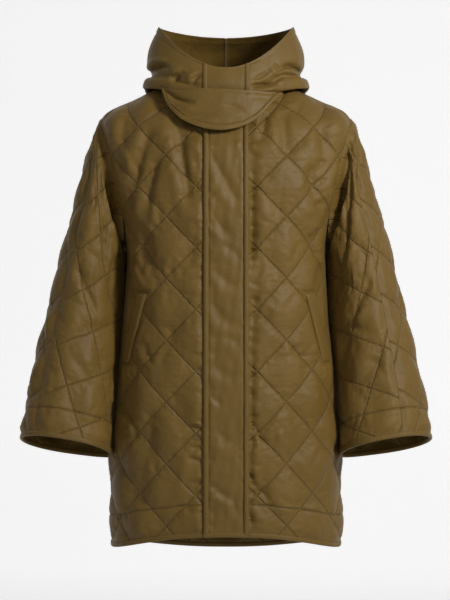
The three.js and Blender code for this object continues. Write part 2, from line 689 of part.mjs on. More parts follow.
// A strip over the front from the hem to the neck, or over the collar: columns at the xs, rows at the
// levels, between two heights above the surface.
function addStrip(name, surface, xs, levels, outside, inside, material) {
  const rows = levels.map((v) => xs.map((x) => layer(surface, turnAtX(surface, x, v), v, 1, outside, inside)));
  add(name, gridWall(rows, false), material);
}

function spread(from, to, steps) {
  return Array.from({ length: steps + 1 }, (_, k) => mix(from, to, k / steps));
}

function addPlacket() {
  const half = PLACKET_WIDTH / 2;
  const levels = placketLevels;
  const under = STITCHED + SEAM_GAP;
  addStrip('placket', bodyPoint, spread(-half, half, 4), levels, PLACKET_OUTSIDE, under, plainCloth);
  const panel = COLLAR_SPLIT - SEAM_GAP;
  addStrip('collar_front', hoodPoint, spread(-panel, panel, 4), hoodLevels, 0, -PLAIN_WALL, plainCloth);
  for (const [name, hand] of Object.entries({ left: 1, right: -1 })) {
    const inner = hand > 0 ? half - EDGE_WIDTH : -half;
    const onPlacket = spread(inner, inner + EDGE_WIDTH, 1);
    const on = PLACKET_OUTSIDE + SEAM_GAP;
    addStrip(`placket_edge_${name}`, bodyPoint, onPlacket, levels, on + EDGE_WALL, on, tape);
    const middle = hand * COLLAR_SPLIT;
    const onCollar = spread(middle - EDGE_WIDTH / 2, middle + EDGE_WIDTH / 2, 2);
    const over = 2 * SEAM_GAP;
    addStrip(`collar_edge_${name}`, hoodPoint, onCollar, hoodLevels.slice(1), over + EDGE_WALL, over, tape);
  }
}

// Frames for a binding along an edge of a surface: out is away from the cloth, down is past its edge.
// The binding's middle lies in the wall's middle, moved out by a given distance.
function edgeFrames(surface, places, side, towards, outside) {
  return places.map(({ u, v }) => {
    const out = normalOf(surface, u, v, side);
    const down = surface(u, v + 0.02 * towards).sub(surface(u, v)).normalize();
    return { at: surface(u, v).addScaledVector(out, (INSIDE + STITCHED) / 2 + outside), out, down };
  });
}

function addHemBinding() {
  const { height, depth, steps, outside } = BINDING;
  const start = turnAtX(bodyPoint, PLACKET_WIDTH / 2 + 1, HEM_BINDING_LEVEL);
  const round = spread(start, 2 * Math.PI - start, steps.hem).map((u) => ({ u, v: HEM_BINDING_LEVEL }));
  const frames = edgeFrames(bodyPoint, round, 1, -1, outside);
  add('hem_binding', rib(frames, height, depth, false, false), tape);
  const foot = turnAtX(bodyPoint, PLACKET_WIDTH / 2, HEM_BINDING_LEVEL);
  const across = spread(-foot, foot, steps.foot).map((u) => ({ u, v: HEM_BINDING_LEVEL }));
  const footFrames = edgeFrames(bodyPoint, across, 1, -1, outside + FOOT_BINDING.further_out);
  add('placket_foot_binding', rib(footFrames, height, depth + FOOT_BINDING.deeper, false, false), tape);
}

// Sleeves, each of a front and a back piece that meet at the forearm seam and the underarm seam
const SLEEVE_START = 0.02;
const CUFF_LEVEL = CUFF - 0.19; // the sleeve's cloth stops here, and the cuff binding fills the rest
const CUFF_BINDING_LEVEL = CUFF - 0.092; // the middle of the cuff binding
const SLEEVE_GAP = 0.0012;

function addSleeve(name, hand) {
  const mirrored = hand < 0;
  const seamTurn = (ring) => deg(mix(SEAM_TURN[name].top, SEAM_TURN[name].cuff, ring / CUFF));
  const faces = { front: 1, back: -1 };
  for (const [face, way] of Object.entries(faces)) {
    const surface = (u, v) => sleevePoint(mix(seamTurn(v), way * Math.PI, u), v);
    const flatCloth = new FlatCloth(surface, [0, 1], [0, CUFF], CUFF);
    const { top } = SEAM_TURN[name];
    const stops = spread(0, 1, (180 - way * top) / ARMHOLE_STEP).slice(0, -1).map((share) => ({
      u: Math.max(share, SLEEVE_GAP),
      v: SLEEVE_START,
    }));
    const edge = outlineOf(surface, [
      { u: SLEEVE_GAP, v: SLEEVE_START, stops },
      { u: 1 - SLEEVE_GAP, v: SLEEVE_START },
      { u: 1 - SLEEVE_GAP, v: CUFF_LEVEL },
      { u: SLEEVE_GAP, v: CUFF_LEVEL },
    ]);
    const turn = way * SLEEVE_QUILT_TURN;
    const piece = { flatCloth, edge, side: way, turn, shift: SLEEVE_QUILT_SHIFT, mirrored };
    add(`sleeve_${name}_${face}`, quiltedPiece(piece), shellCloth);
  }
  const { height, depth, steps, outside } = BINDING;
  const round = spread(0, 2 * Math.PI, steps.cuff).slice(1).map((u) => ({ u, v: CUFF_BINDING_LEVEL }));
  const frames = edgeFrames(sleevePoint, round, 1, 1, outside);
  add(`cuff_binding_${name}`, rib(frames, height, depth, true, mirrored), tape);
}

// The hood, of two halves that meet at centre back, and the flap over its collar
function addHood(name, hand) {
  const rows = hoodLevels.map((v) => {
    const start = turnAtX(hoodPoint, COLLAR_SPLIT, v);
    const end = Math.PI - SEAM_GAP / HOOD_RINGS[0].half_width;
    return spread(start, end, HOOD_STEPS.around).map((u) => layer(hoodPoint, u, v, 1, 0, -PLAIN_WALL));
  });
  add(`hood_${name}`, gridWall(rows, hand < 0), plainCloth);
}

function flapPoint(share, at) {
  const read = (name) => column(FLAP_OUTLINE, name, at);
  const y = -mix(read('out_top'), read('out_bottom'), share);
  return new THREE.Vector3(read('x'), y, mix(read('top'), read('bottom'), share));
}

function addFlap() {
  const last = FLAP_OUTLINE.length - 1;
  const rows = spread(0, 1, FLAP_STEPS).map((share) =>
    spread(0, last, last).map((at) => layer(flapPoint, share, at, 1, 0, -PLAIN_WALL)),
  );
  add('throat_flap', gridWall(rows, false), plainCloth);
}

addBack();
addPlacket();
addHemBinding();
addFlap();
for (const [name, hand] of [['left', 1], ['right', -1]]) {
  addFront(name, hand);
  addSleeve(name, hand);
  addHood(name, hand);
}

export default jacket;
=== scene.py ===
"""A hooded quilted jacket, filled out as if worn. Sizes are in millimetres, and meshes are in metres.

It faces -Y, +X is its wearer's left, and the origin lies between the shoulders.
"""

import bpy
import numpy as np
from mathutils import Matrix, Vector
from mathutils.bvhtree import BVHTree
from mathutils.geometry import delaunay_2d_cdt


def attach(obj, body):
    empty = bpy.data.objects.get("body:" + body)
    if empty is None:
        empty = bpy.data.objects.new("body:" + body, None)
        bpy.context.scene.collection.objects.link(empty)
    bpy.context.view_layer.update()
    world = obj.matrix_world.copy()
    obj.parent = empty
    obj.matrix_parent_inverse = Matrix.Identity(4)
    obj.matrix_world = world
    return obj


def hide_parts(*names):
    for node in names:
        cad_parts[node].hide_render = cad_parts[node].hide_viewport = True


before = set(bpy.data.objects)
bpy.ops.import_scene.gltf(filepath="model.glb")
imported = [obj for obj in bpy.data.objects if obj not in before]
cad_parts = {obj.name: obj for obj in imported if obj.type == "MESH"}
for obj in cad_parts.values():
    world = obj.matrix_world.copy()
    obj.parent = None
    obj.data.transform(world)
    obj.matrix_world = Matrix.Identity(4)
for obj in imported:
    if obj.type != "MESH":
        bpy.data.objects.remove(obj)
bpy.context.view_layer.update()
bpy.ops.object.select_all(action="DESELECT")

MM = 0.001
HANDS = {"left": 1, "right": -1}

# Cloth
QUILT = 75.5  # side of a quilting square
CELLS = 20  # mesh steps along one side of a square
STEP = QUILT / CELLS
STITCHED = -2.0  # outer face along a quilting line, from the body's outline
COVERED = -2.3  # outer face under the placket or a welt
PUFF = 5.2
SEAM_FADE = 15  # quilting flattens over this distance from a seam
WALL = 2.2  # quilted cloth
PLAIN_WALL = 2.2
BODY_QUILT = {"turn": 0, "shift": (0, 44.4)}
SLEEVE_QUILT = {"turn": np.radians(18), "shift": (15.5, 9.5)}

# Placket, collar, bindings and welts
PLACKET_HALF = 39
PLACKET_OUTSIDE = 1.2
EDGE_WIDTH = 8.6
EDGE_RISE = 3.0
COLLAR_SPLIT = 37
BINDING_HALF_HEIGHT = 4.2
BINDING_HALF_DEPTH = 2.8
BINDING_WALL = 0.9
HEM_LEVEL = 0.07
HEM_BINDING_LEVEL = 0.047
WELT = {"inner_top": 146, "outer_top": 172, "inner_foot": 190, "outer_foot": 216, "top": -352, "foot": -474}
HEM_FACING = 50  # a stitched line this far above the hem, and another above each cuff
CUFF_FACING = 50


def table(names, *rows):
    """Columns by name, from rows of numbers."""
    return dict(zip(names.split(), np.array(rows, float).T))


BODY = table(
    "z lift_front lift_back half_width front back side_y square",
    (-804, 36, -32, 205, 150, 165, 5, 2.3),
    (-705, 24, -20, 206, 150, 162, 5, 2.3),
    (-610, 19, -16, 204, 149, 157, 5, 2.3),
    (-500, 13, -11, 195, 146, 149, 5, 2.35),
    (-385, 7, -6, 184, 140, 139, 5, 2.4),
    (-262, 0, 0, 180, 134, 130, 6, 2.45),
    (-181, 0, 0, 205, 130, 126, 8, 2.4),
    (-110, 2, 2, 222, 121, 121, 10, 2.3),
    (-43, -38, -24, 222, 112, 112, 12, 2.1),
    (-8, -53, -19, 160, 101, 98, 12, 2.0),
    (22, -68, -12, 92, 88, 80, 10, 2.0),
)
UNDERARM, SHOULDER, NECK = 5, 8, 10
ARMHOLE_SPREAD = np.radians(24)
HALF_SEAM = np.radians(0.1)
SIDE_TURN = np.pi / 2 - HALF_SEAM

SLEEVE = table(
    "outer_x outer_z inner_x inner_z mid_y half_depth pitch",
    (254, -138, 176, -296, 4, 72, 0.02),
    (277, -222, 178, -348, 0, 74, 0.05),
    (299, -312, 181.5, -407, -6, 76, 0.1),
    (320, -402, 187, -467, -16, 78, 0.16),
    (340, -488, 193, -531, -30, 79, 0.22),
    (354, -558, 198, -590, -45, 79, 0.27),
    (362, -611, 201, -634, -56, 78, 0.3),
)
INNER_SLANT = (14, 17, 16, 14, 11, 9, 8)  # each ring's inner side leans out in front, and in behind
SLEEVE_SPRING = 15
SLEEVE_SQUARE = 2.15
SLEEVE_SQUARE_INSIDE = 2.9
CUFF = 8
SLEEVE_START = 0.0
CUFF_LEVEL = CUFF - 0.14
CUFF_BINDING_LEVEL = CUFF - 0.092
SEAM_TURN = {"left": (60, 76), "right": (45, 52)}  # forearm seam, degrees at its top and at the cuff

HOOD = table(
    "half_width front back z_front z_side z_back",
    (99, 87, 88, -32, 27, 20),
    (120, 91, 112, -20, 22, -4),
    (138, 94, 134, -8, 11, -74),
    (148, 96, 158, 3, 9, -108),
    (145, 96, 186, 13, 23, -82),
    (134, 94, 193, 21, 32, -28),
    (140, 91, 184, 28, 49, 30),
    (137, 88, 160, 35, 78, 78),
    (120, 85, 126, 42, 118, 106),
)
HOOD_AXIS_Y = 10
RIM = 9

FLAP = table(
    "x top bottom out_top out_bottom",
    (-112, 14, 1, 56.5, 57),
    (-103, 11, -22, 65, 73),
    (-92, 9, -36, 72, 84),
    (-77, 7, -49, 81, 95),
    (-59, 6, -58, 89, 103),
    (-36, 5, -65, 95, 109),
    (-8, 4, -68, 98, 112),
    (20, 2, -64, 97, 110),
    (44, 1, -54, 93, 105),
    (60, 0, -42, 87, 98),
    (73, -1, -28, 81, 89),
    (86, -1, -14, 73, 77),
    (98, -2, -7, 64, 64),
)

# Creases, as seen from the front: a soft trough from one point to another, bowed to its left by bow.
# lip is how far the cloth beside it is pushed up, as a share of its depth.
CREASE_COLUMNS = "x top foot_x foot bow width depth lip"
FRONT_CREASES = table(
    CREASE_COLUMNS,
    (48, -74, 47, -385, 2, 8, 8, 0.55),
    (44, -370, 41, -752, -2, 6, 5, 0.5),
    (57, -285, 50, -330, -4, 8, 4, 0.3),
    (60, -300, 50, -445, 5, 9, 4, 0.3),
    (103, -30, 107, -118, 3, 11, 6, 0.4),
    (73, -34, 66, -80, 2, 6, 4.5, 0.4),
    (166, -62, 160, -150, -9, 9, 6, 0.5),
    (150, -100, 162, -215, 4, 9, 4.5, 0.4),
    (177, -128, 158, -122, 1, 5, 3, 0.5),
    (178, -152, 154, -168, 2, 5, 3.2, 0.5),
    (176, -190, 152, -202, -2, 5, 3.5, 0.5),
    (172, -240, 150, -262, 3, 6, 3.5, 0.4),
    (170, -300, 158, -345, 3, 6, 3, 0.4),
    (140, -235, 152, -300, -5, 9, 3, 0.3),
    (-92, -42, -64, -205, -5, 9, 7, 0.45),
    (-130, -60, -149, -128, 4, 8, 5, 0.4),
    (-116, -105, -140, -232, 4, 8, 5.5, 0.45),
    (-155, -98, -163, -170, -5, 9, 5, 0.4),
    (-60, -100, -50, -150, -3, 6, 3, 0.3),
    (-148, -225, -149, -322, -6, 9, 5.5, 0.4),
    (-130, -245, -128, -330, 4, 8, 4, 0.35),
    (-172, -250, -176, -330, 3, 8, 4, 0.4),
    (-165, -342, -136, -352, 1, 6, 3.5, 0.4),
    (-60, -250, -50, -330, 4, 10, 2.5, 0.3),
    (-58, -560, -50, -720, 3, 12, 3, 0.3),
    (-120, -560, -150, -720, 5, 16, 3, 0.3),
    (110, -520, 128, -720, -5, 17, 3.5, 0.3),
    (72, -590, 64, -735, 4, 12, 3, 0.3),
    (-178, -44, -182, -92, 2, 6, 3.5, 0.4),
    (38, -568, 66, -612, -4, 4, 4, 0.6),
    (38, -650, 58, -690, 3, 4, 4.5, 0.6),
    (54, -684, 80, -716, -3, 5, 3.5, 0.5),
    (38, -724, 52, -762, 2, 4, 4, 0.6),
    (-38, -585, -66, -580, 2, 4, 3.5, 0.6),
    (-38, -612, -60, -616, -2, 4, 3.5, 0.6),
    (-38, -640, -68, -634, 2, 4, 3, 0.6),
    (-38, -668, -58, -676, -2, 4, 3.5, 0.6),
)
BACK_CREASES = table(
    CREASE_COLUMNS,
    (-95, -120, -70, -330, -8, 12, 6, 0.4),
    (88, -130, 72, -300, 8, 12, 5.5, 0.4),
    (-150, -110, -165, -240, 6, 10, 6, 0.45),
    (160, -100, 170, -225, -6, 10, 6, 0.45),
    (-20, -200, -35, -470, 7, 16, 4.5, 0.3),
    (45, -330, 60, -640, -9, 17, 5, 0.3),
    (-110, -400, -130, -700, 9, 18, 5, 0.3),
    (140, -380, 150, -660, 7, 16, 5, 0.3),
    (-60, -560, -50, -760, 5, 14, 3.5, 0.3),
    (10, -120, 5, -190, 3, 9, 4, 0.4),
    (-172, -260, -150, -300, 3, 7, 4, 0.4),
    (172, -250, 146, -285, -3, 7, 4, 0.4),
)
# Creases of a sleeve, by its turn in degrees and its distance down from the armhole
SLEEVE_CREASES = table(
    CREASE_COLUMNS,
    (60, -20, 108, -95, -8, 9, 5, 0.4),
    (100, -15, 128, -120, 8, 9, 5.5, 0.4),
    (30, -30, 44, -120, -6, 10, 4, 0.4),
    (120, -130, 70, -190, 9, 10, 4.5, 0.4),
    (60, -200, 125, -250, -8, 10, 5, 0.4),
    (140, -250, 90, -310, 8, 9, 4.5, 0.4),
    (20, -270, 75, -300, 5, 10, 3.5, 0.3),
    (80, -330, 130, -380, 6, 11, 4, 0.3),
    (55, -360, 35, -460, -7, 14, 3.5, 0.3),
    (105, -390, 112, -480, 5, 12, 3.5, 0.3),
    (-40, -60, -90, -150, 8, 11, 5, 0.4),
    (-80, -170, -30, -230, 8, 11, 4.5, 0.4),
    (-120, -120, -70, -260, -8, 12, 5, 0.4),
    (-60, -280, -115, -340, 8, 11, 4.5, 0.4),
    (-30, -330, -50, -450, 6, 14, 3.5, 0.3),
    (-100, -370, -95, -470, -6, 13, 3.5, 0.3),
    (165, -40, 150, -170, 6, 9, 5, 0.4),
    (-165, -50, -150, -190, -6, 9, 5, 0.4),
)
PLACKET_CREASES = table(
    CREASE_COLUMNS,
    (-28, -98, 16, -170, 6, 7, 2.2, 0.6),
    (-18, -150, 24, -200, -5, 8, 2.4, 0.6),
    (-26, -205, 22, -262, 6, 8, 2.0, 0.6),
    (-12, -262, 27, -292, -3, 7, 1.8, 0.6),
    (-28, -300, 24, -342, 4, 8, 2.0, 0.6),
    (-27, -358, 20, -410, 6, 9, 2.2, 0.6),
    (-8, -420, 27, -442, -3, 7, 1.7, 0.6),
    (-28, -462, 22, -500, 5, 8, 1.8, 0.6),
    (-29, -520, -6, -540, 2, 4.5, 2.6, 0.7),
    (-20, -580, 24, -612, 4, 9, 1.8, 0.6),
    (-30, -674, 18, -706, 3, 6, 2.4, 0.7),
    (12, -690, 23, -735, 3, 6, 2.0, 0.6),
)
FLAP_CREASES = table(
    CREASE_COLUMNS,
    (-110, 4, -52, -20, 7, 5, 7.0, 0.5),
    (-104, -12, -70, -30, 3, 5, 3.4, 0.4),
    (-72, -42, -16, -40, 3, 5, 2.6, 0.5),
    (-8, -24, 36, -38, -3, 5, 2.2, 0.5),
    (40, -10, 84, -16, -3, 6, 1.3, 0.4),
    (10, -50, 45, -44, -3, 5, 1.0, 0.5),
)
HOOD_CREASES = table(
    CREASE_COLUMNS,
    (38, 11, 104, 33, 7, 5, 4.5, 0.5),
    (40, 3, 88, 18, -4, 4.5, 3.2, 0.5),
    (46, 22, 78, 40, 3, 4, 2.4, 0.5),
    (84, 50, 100, 36, 2, 4, 3.2, 0.5),
    (60, 8, 100, 12, -3, 5, 2.4, 0.4),
    (96, 44, 138, 28, -9, 4.5, 7, 0.5),
    (-42, 30, -62, 12, 3, 4, 4, 0.5),
    (-70, 34, -96, 16, 4, 5, 4, 0.5),
    (-46, 10, -100, 26, -4, 6, 3.5, 0.5),
    (-100, 46, -138, 28, 8, 5, 6, 0.5),
)
# Creases of the hood's back, seen from behind
HOOD_BACK_CREASES = table(
    CREASE_COLUMNS,
    (-108, 20, -50, -70, 12, 10, 6, 0.4),
    (110, 24, 56, -66, -12, 10, 6, 0.4),
    (-70, 60, -30, -30, 8, 11, 5, 0.4),
    (66, 62, 24, -36, -8, 11, 5, 0.4),
    (-118, 50, -80, 0, 6, 8, 4.5, 0.4),
    (120, 46, 84, -4, -6, 8, 4.5, 0.4),
    (-30, 40, 30, 30, 6, 9, 3, 0.4),
)


def scattered(seed, count, low, high, lean=0.6):
    """Small creases of padded cloth in a rectangle, most of them near upright."""
    rng = np.random.default_rng(seed)
    x, y = rng.uniform(low[0], high[0], count), rng.uniform(low[1], high[1], count)
    angle = rng.normal(0, lean, count)
    reach = rng.uniform(9, 26, count)
    bow = rng.uniform(-3, 3, count)
    width, depth = rng.uniform(3.4, 6, count), rng.uniform(0.7, 2.1, count)
    across, up = reach * np.sin(angle), reach * np.cos(angle)
    return table(CREASE_COLUMNS, *zip(x - across, y + up, x + across, y - up, bow, width, depth, 0 * x + 0.5))


def gathered(seed, x, out, count, top, foot, depth):
    """Short creases that leave a sewn edge at x, unevenly spaced along it."""
    rng = np.random.default_rng(seed)
    y = np.linspace(top, foot, count) + rng.uniform(-0.45, 0.45, count) * (top - foot) / count
    reach = out * rng.uniform(0.5, 1.3, count)
    drop = rng.uniform(-6, 20, count)
    deep = depth * rng.uniform(0.4, 1.2, count)
    width = rng.uniform(3.2, 5.2, count)
    start = 0 * y + x - 0.35 * out
    return table(CREASE_COLUMNS, *zip(start, y, x + reach, y - drop, 0 * y + 2, width, deep, 0 * y + 0.6))


def joined(*tables):
    return {name: np.concatenate([rows[name] for rows in tables]) for name in CREASE_COLUMNS.split()}


FRONT_SMALL = scattered(41, 150, (-215, -780), (215, -30))
BACK_SMALL = scattered(42, 120, (-215, -790), (215, -10))
SLEEVE_SMALL = {"left": scattered(43, 90, (-240, 10), (240, 480)), "right": scattered(44, 90, (-240, 10), (240, 480))}
GATHERS = joined(
    gathered(45, 40, 17, 34, -85, -755, 3.4),
    gathered(46, -40, -15, 26, -85, -755, 2.6),
)
PLACKET_GATHERS = joined(
    gathered(47, -29, 13, 27, -90, -750, 1.8),
    gathered(48, 29, -10, 20, -90, -750, 1.2),
)


def ease(share):
    inside = np.clip(share, 0, 1)
    return inside * inside * (3 - 2 * inside)


def mix(a, b, share):
    return a + (b - a) * share


def power(value, exponent):
    return np.sign(value) * np.abs(value) ** exponent


def unit(vectors):
    return vectors / np.maximum(np.linalg.norm(vectors, axis=-1, keepdims=True), 1e-9)


def curve(a, b, c, d, share):
    """A smooth curve from b to c, at a share of the way, with a before them and d after them."""
    bend = 2 * a - 5 * b + 4 * c - d + share * (3 * (b - c) + d - a)
    return b + 0.5 * share * (c - a + share * bend)


def through(values, at):
    """A smooth curve through values that sit at whole numbers, read at any place between them."""
    ends = np.concatenate(([2 * values[0] - values[1]], values, [2 * values[-1] - values[-2]]))
    first = np.clip(np.floor(at).astype(int), 0, len(values) - 2)
    return curve(*(ends[first + k] for k in range(4)), at - first)


def crease_depth(x, y, rows):
    """How far soft creases push the cloth in, at places of a panel."""
    depth = np.zeros(np.shape(x))
    for x0, y0, x1, y1, bow, width, deep, lip in zip(*rows.values()):
        length = np.hypot(x1 - x0, y1 - y0)
        along = ((x - x0) * (x1 - x0) + (y - y0) * (y1 - y0)) / length**2
        inside = np.clip(along, 0, 1)
        away = ((x - x0) * (y1 - y0) - (y - y0) * (x1 - x0)) / length - 4 * bow * inside * (1 - inside)
        ends = np.sin(np.pi * inside) ** 0.7
        trough = np.exp(-np.abs(away / width) ** 1.6)
        beside = np.exp(-(((away - 2.1 * width) / (1.2 * width)) ** 2))
        depth += deep * ends * (trough - lip * beside)
    return depth


def drape(x, y, seed, height=1.0):
    """A faint unevenness of hanging cloth, as a few long waves."""
    rng = np.random.default_rng(seed)
    waves = np.zeros(np.shape(x))
    for length in (190, 140, 105, 80, 62, 48):
        angle = rng.uniform(-0.9, 0.9)
        phase = rng.uniform(0, 2 * np.pi)
        waves += 0.5 * np.sin(2 * np.pi * (x * np.cos(angle) + y * np.sin(angle)) / length + phase)
    return height * waves


def body_point(turn, level):
    """The body's outline. turn is 0 at centre front and a quarter turn at the +X side seam."""
    turn, level = np.broadcast_arrays(np.asarray(turn, float), np.asarray(level, float))
    row = {name: through(column, level) for name, column in BODY.items()}
    c, s = np.cos(turn), np.sin(turn)
    in_front = c > 0
    exponent = 2 / row["square"]
    depth = np.where(in_front, row["front"], row["back"])
    lift = np.where(in_front, row["lift_front"], row["lift_back"])
    x = row["half_width"] * power(s, exponent)
    y = row["side_y"] - depth * power(c, exponent)
    return np.stack([x, y, row["z"] + lift * c * c], -1)


def back_point(turn, level):
    return body_point(np.pi - turn, level)


def normal_of(surface, u, v, side=1):
    step = 0.012
    across = surface(u + step, v) - surface(u - step, v)
    along = surface(u, v + step) - surface(u, v - step)
    return side * unit(np.cross(across, along))


def armhole(turn):
    """The armhole on the +X side: turn 0 is its top, a quarter turn its front, a half the underarm."""
    level = (SHOULDER + UNDERARM) / 2 + (SHOULDER - UNDERARM) / 2 * np.cos(turn)
    return np.pi / 2 - ARMHOLE_SPREAD * np.sin(turn), level


def armhole_seam(turn, way):
    """Where a sleeve that leaves in a given way is sewn on, so that its outer face meets the body's."""
    tangent = body_point(*armhole(turn + 0.01)) - body_point(*armhole(turn - 0.01))
    outward = unit(np.cross(tangent, way))
    normal = normal_of(body_point, *armhole(turn))
    return body_point(*armhole(turn)) + STITCHED * normal - STITCHED * outward


def sleeve_rings(turn):
    """The sleeve's rings, from its spring at the armhole to the cuff."""
    c, s = np.cos(turn), np.sin(turn)
    top = ((1 + c) / 2) ** 1.5
    under = ((1 - c) / 2) ** 3
    way = unit(np.stack([mix(1, 0.5, top) - 0.85 * under, -0.12 * s, mix(-0.1, -0.87, top) - 0.9 * under], -1))
    seam = armhole_seam(turn, way)
    rings = [seam, seam + SLEEVE_SPRING * way]
    exponent = 2 / mix(SLEEVE_SQUARE, SLEEVE_SQUARE_INSIDE, ease(-3 * c))
    across = (1 + power(c, exponent)) / 2
    round_depth = power(s, exponent)
    for *row, slant in zip(*SLEEVE.values(), INNER_SLANT):
        outer_x, outer_z, inner_x, inner_z, mid_y, half_depth, pitch = row
        forward = half_depth * round_depth
        x = mix(inner_x, outer_x, across) + 2 * slant * round_depth * (1 - across) ** 2
        z = mix(inner_z, outer_z, across) + pitch * forward
        rings.append(np.stack([x, mid_y - forward, z], -1))
    return np.array(rings)


def hood_rings(turn):
    """The hood's rings, from the neck seam to its rim: turn is 0 at centre front."""
    edge = body_point(turn, NECK)
    below = NECK - 0.02
    normal = normal_of(body_point, turn, below)
    rings = [edge + (STITCHED + 0.6) * normal + 0.7 * unit(edge - body_point(turn, below))]
    c, s = np.cos(turn), np.sin(turn)
    in_front = c > 0
    for half_width, front, back, z_front, z_side, z_back in zip(*HOOD.values()):
        y = HOOD_AXIS_Y - np.where(in_front, front, back) * c
        z = mix(z_side, np.where(in_front, z_front, z_back), c * c)
        rings.append(np.stack([half_width * s, y, z], -1))
    return np.array(rings)


def lofted(rings_at):
    """A smooth surface through rings, read by turn and ring."""
    samples = 1440
    rings = rings_at(np.linspace(0, 2 * np.pi, samples + 1))
    last = len(rings) - 1
    rings = np.concatenate([[2 * rings[0] - rings[1]], rings, [2 * rings[-1] - rings[-2]]])

    def surface(turn, ring):
        turn, ring = np.broadcast_arrays(np.asarray(turn, float), np.asarray(ring, float))
        place = np.mod(turn / (2 * np.pi), 1) * samples
        at = np.minimum(place.astype(int), samples - 1)
        share = (place - at)[..., None]
        first = np.clip(np.floor(ring).astype(int), 0, last - 1)
        near = [mix(rings[first + k, at], rings[first + k, at + 1], share) for k in range(4)]
        return curve(*near, (ring - first)[..., None])

    return surface


sleeve_point = lofted(sleeve_rings)
hood_point = lofted(hood_rings)


def turn_at_x(surface, x, ring):
    """The turn at which a ring of a surface comes to a given x, near centre front."""
    turn = np.asarray(x / 100 + 0 * ring, float)
    for _ in range(12):
        turn = turn * np.where(x == 0, 1, x / np.where(x == 0, 1, surface(turn, ring)[..., 0]))
    return np.where(x == 0, 0, turn)


class Panel:
    """The flat cloth of a surface: s runs across it from one grain line and t along it, as lengths."""

    def __init__(self, surface, u_range, v_range, grain_row, least=0.4):
        """least is the least share of its length by which a row's step counts along the cloth."""
        self.surface, self.u, self.v = surface, u_range, v_range
        self.across, self.along = 96, 260
        us = np.linspace(*u_range, self.across + 1)
        vs = np.linspace(*v_range, self.along + 1)
        grid = surface(us[None, :], vs[:, None])
        widths = np.linalg.norm(np.diff(grid, axis=1), axis=-1)
        self.s = np.concatenate([np.zeros((len(vs), 1)), np.cumsum(widths, axis=1)], axis=1)
        lengths = np.linalg.norm(np.diff(grid, axis=0), axis=-1)
        rise = np.sqrt(np.maximum(lengths**2 - np.diff(self.s, axis=0) ** 2, (least * lengths) ** 2))
        t = np.concatenate([np.zeros((1, len(us))), np.cumsum(rise, axis=0)])
        home = round((grain_row - v_range[0]) / (v_range[1] - v_range[0]) * self.along)
        self.t = t - t[home]

    def read(self, values, u, v):
        x = np.clip((u - self.u[0]) / (self.u[1] - self.u[0]), 0, 1) * self.across
        y = np.clip((v - self.v[0]) / (self.v[1] - self.v[0]), 0, 1) * self.along
        i = np.minimum(x.astype(int), self.across - 1)
        j = np.minimum(y.astype(int), self.along - 1)
        low = mix(values[j, i], values[j, i + 1], x - i)
        high = mix(values[j + 1, i], values[j + 1, i + 1], x - i)
        return mix(low, high, y - j)

    def flat(self, u, v):
        side = np.where(u < 0, -1, 1)
        return np.stack([side * self.read(self.s, np.abs(u), v), self.read(self.t, np.abs(u), v)], -1)

    def find(self, flat):
        """The places on the surface of points of the flat cloth."""
        side = np.where(flat[:, 0] < 0, -1, 1)
        s, t = np.abs(flat[:, 0]), flat[:, 1]
        du, dv = (self.u[1] - self.u[0]) / 500, (self.v[1] - self.v[0]) / 500
        u = np.full(len(s), mix(*self.u, 0.5))
        v = np.full(len(s), mix(*self.v, 0.5))
        for _ in range(60):
            slope = (self.read(self.s, u + du, v) - self.read(self.s, u - du, v)) / (2 * du)
            u = np.clip(u + 0.7 * (s - self.read(self.s, u, v)) / slope, *sorted(self.u))
            slope = (self.read(self.t, u, v + dv) - self.read(self.t, u, v - dv)) / (2 * dv)
            v = np.clip(v + 0.7 * (t - self.read(self.t, u, v)) / slope, *sorted(self.v))
        return np.stack([side * u, v], -1)

    def row(self, turns, height):
        """The places, at given turns, of a row of the flat cloth."""
        vs = np.linspace(*self.v, 400)
        found = [np.interp(t, self.flat(np.full(400, u), vs)[:, 1], vs) for u, t in zip(turns, height)]
        return np.stack([turns, found], -1)


def along_path(surface, path, step):
    """Places along a path on a surface, a step apart, without the last one."""
    shares = np.linspace(0, 1, 400)
    places = path(shares)
    points = surface(places[:, 0], places[:, 1])
    lengths = np.concatenate([[0], np.cumsum(np.linalg.norm(np.diff(points, axis=0), axis=1))])
    count = max(round(lengths[-1] / step), 1)
    return path(np.interp(np.arange(count) / count * lengths[-1], lengths, shares))


def line(start, end):
    return lambda share: np.stack([mix(start[0], end[0], share), mix(start[1], end[1], share)], -1)


def armhole_path(share):
    turn, level = armhole(np.pi * (1 - share))
    return np.stack([np.minimum(turn, SIDE_TURN), level], -1)


def body_outline(surface, middle):
    """Half of a body piece, from the hem's middle out and up to the middle of the neck and down."""
    paths = [
        line((middle, HEM_LEVEL), (SIDE_TURN, HEM_LEVEL)),
        line((SIDE_TURN, HEM_LEVEL), (SIDE_TURN, UNDERARM)),
        armhole_path,
        line((SIDE_TURN, SHOULDER), (SIDE_TURN, NECK)),
        line((SIDE_TURN, NECK), (middle, NECK)),
    ]
    half = np.concatenate([along_path(surface, path, STEP) for path in paths])
    return half


def edge_distance(points, outline):
    """The distance of flat points from the nearest side of an outline."""
    starts = outline[::3]
    ends = np.roll(starts, -1, axis=0)
    least = np.full(len(points), np.inf)
    for (ax, ay), (bx, by) in zip(starts, ends - starts):
        x, y = points[:, 0] - ax, points[:, 1] - ay
        share = np.clip((x * bx + y * by) / max(bx * bx + by * by, 1e-9), 0, 1)
        least = np.minimum(least, np.hypot(x - share * bx, y - share * by))
    return least


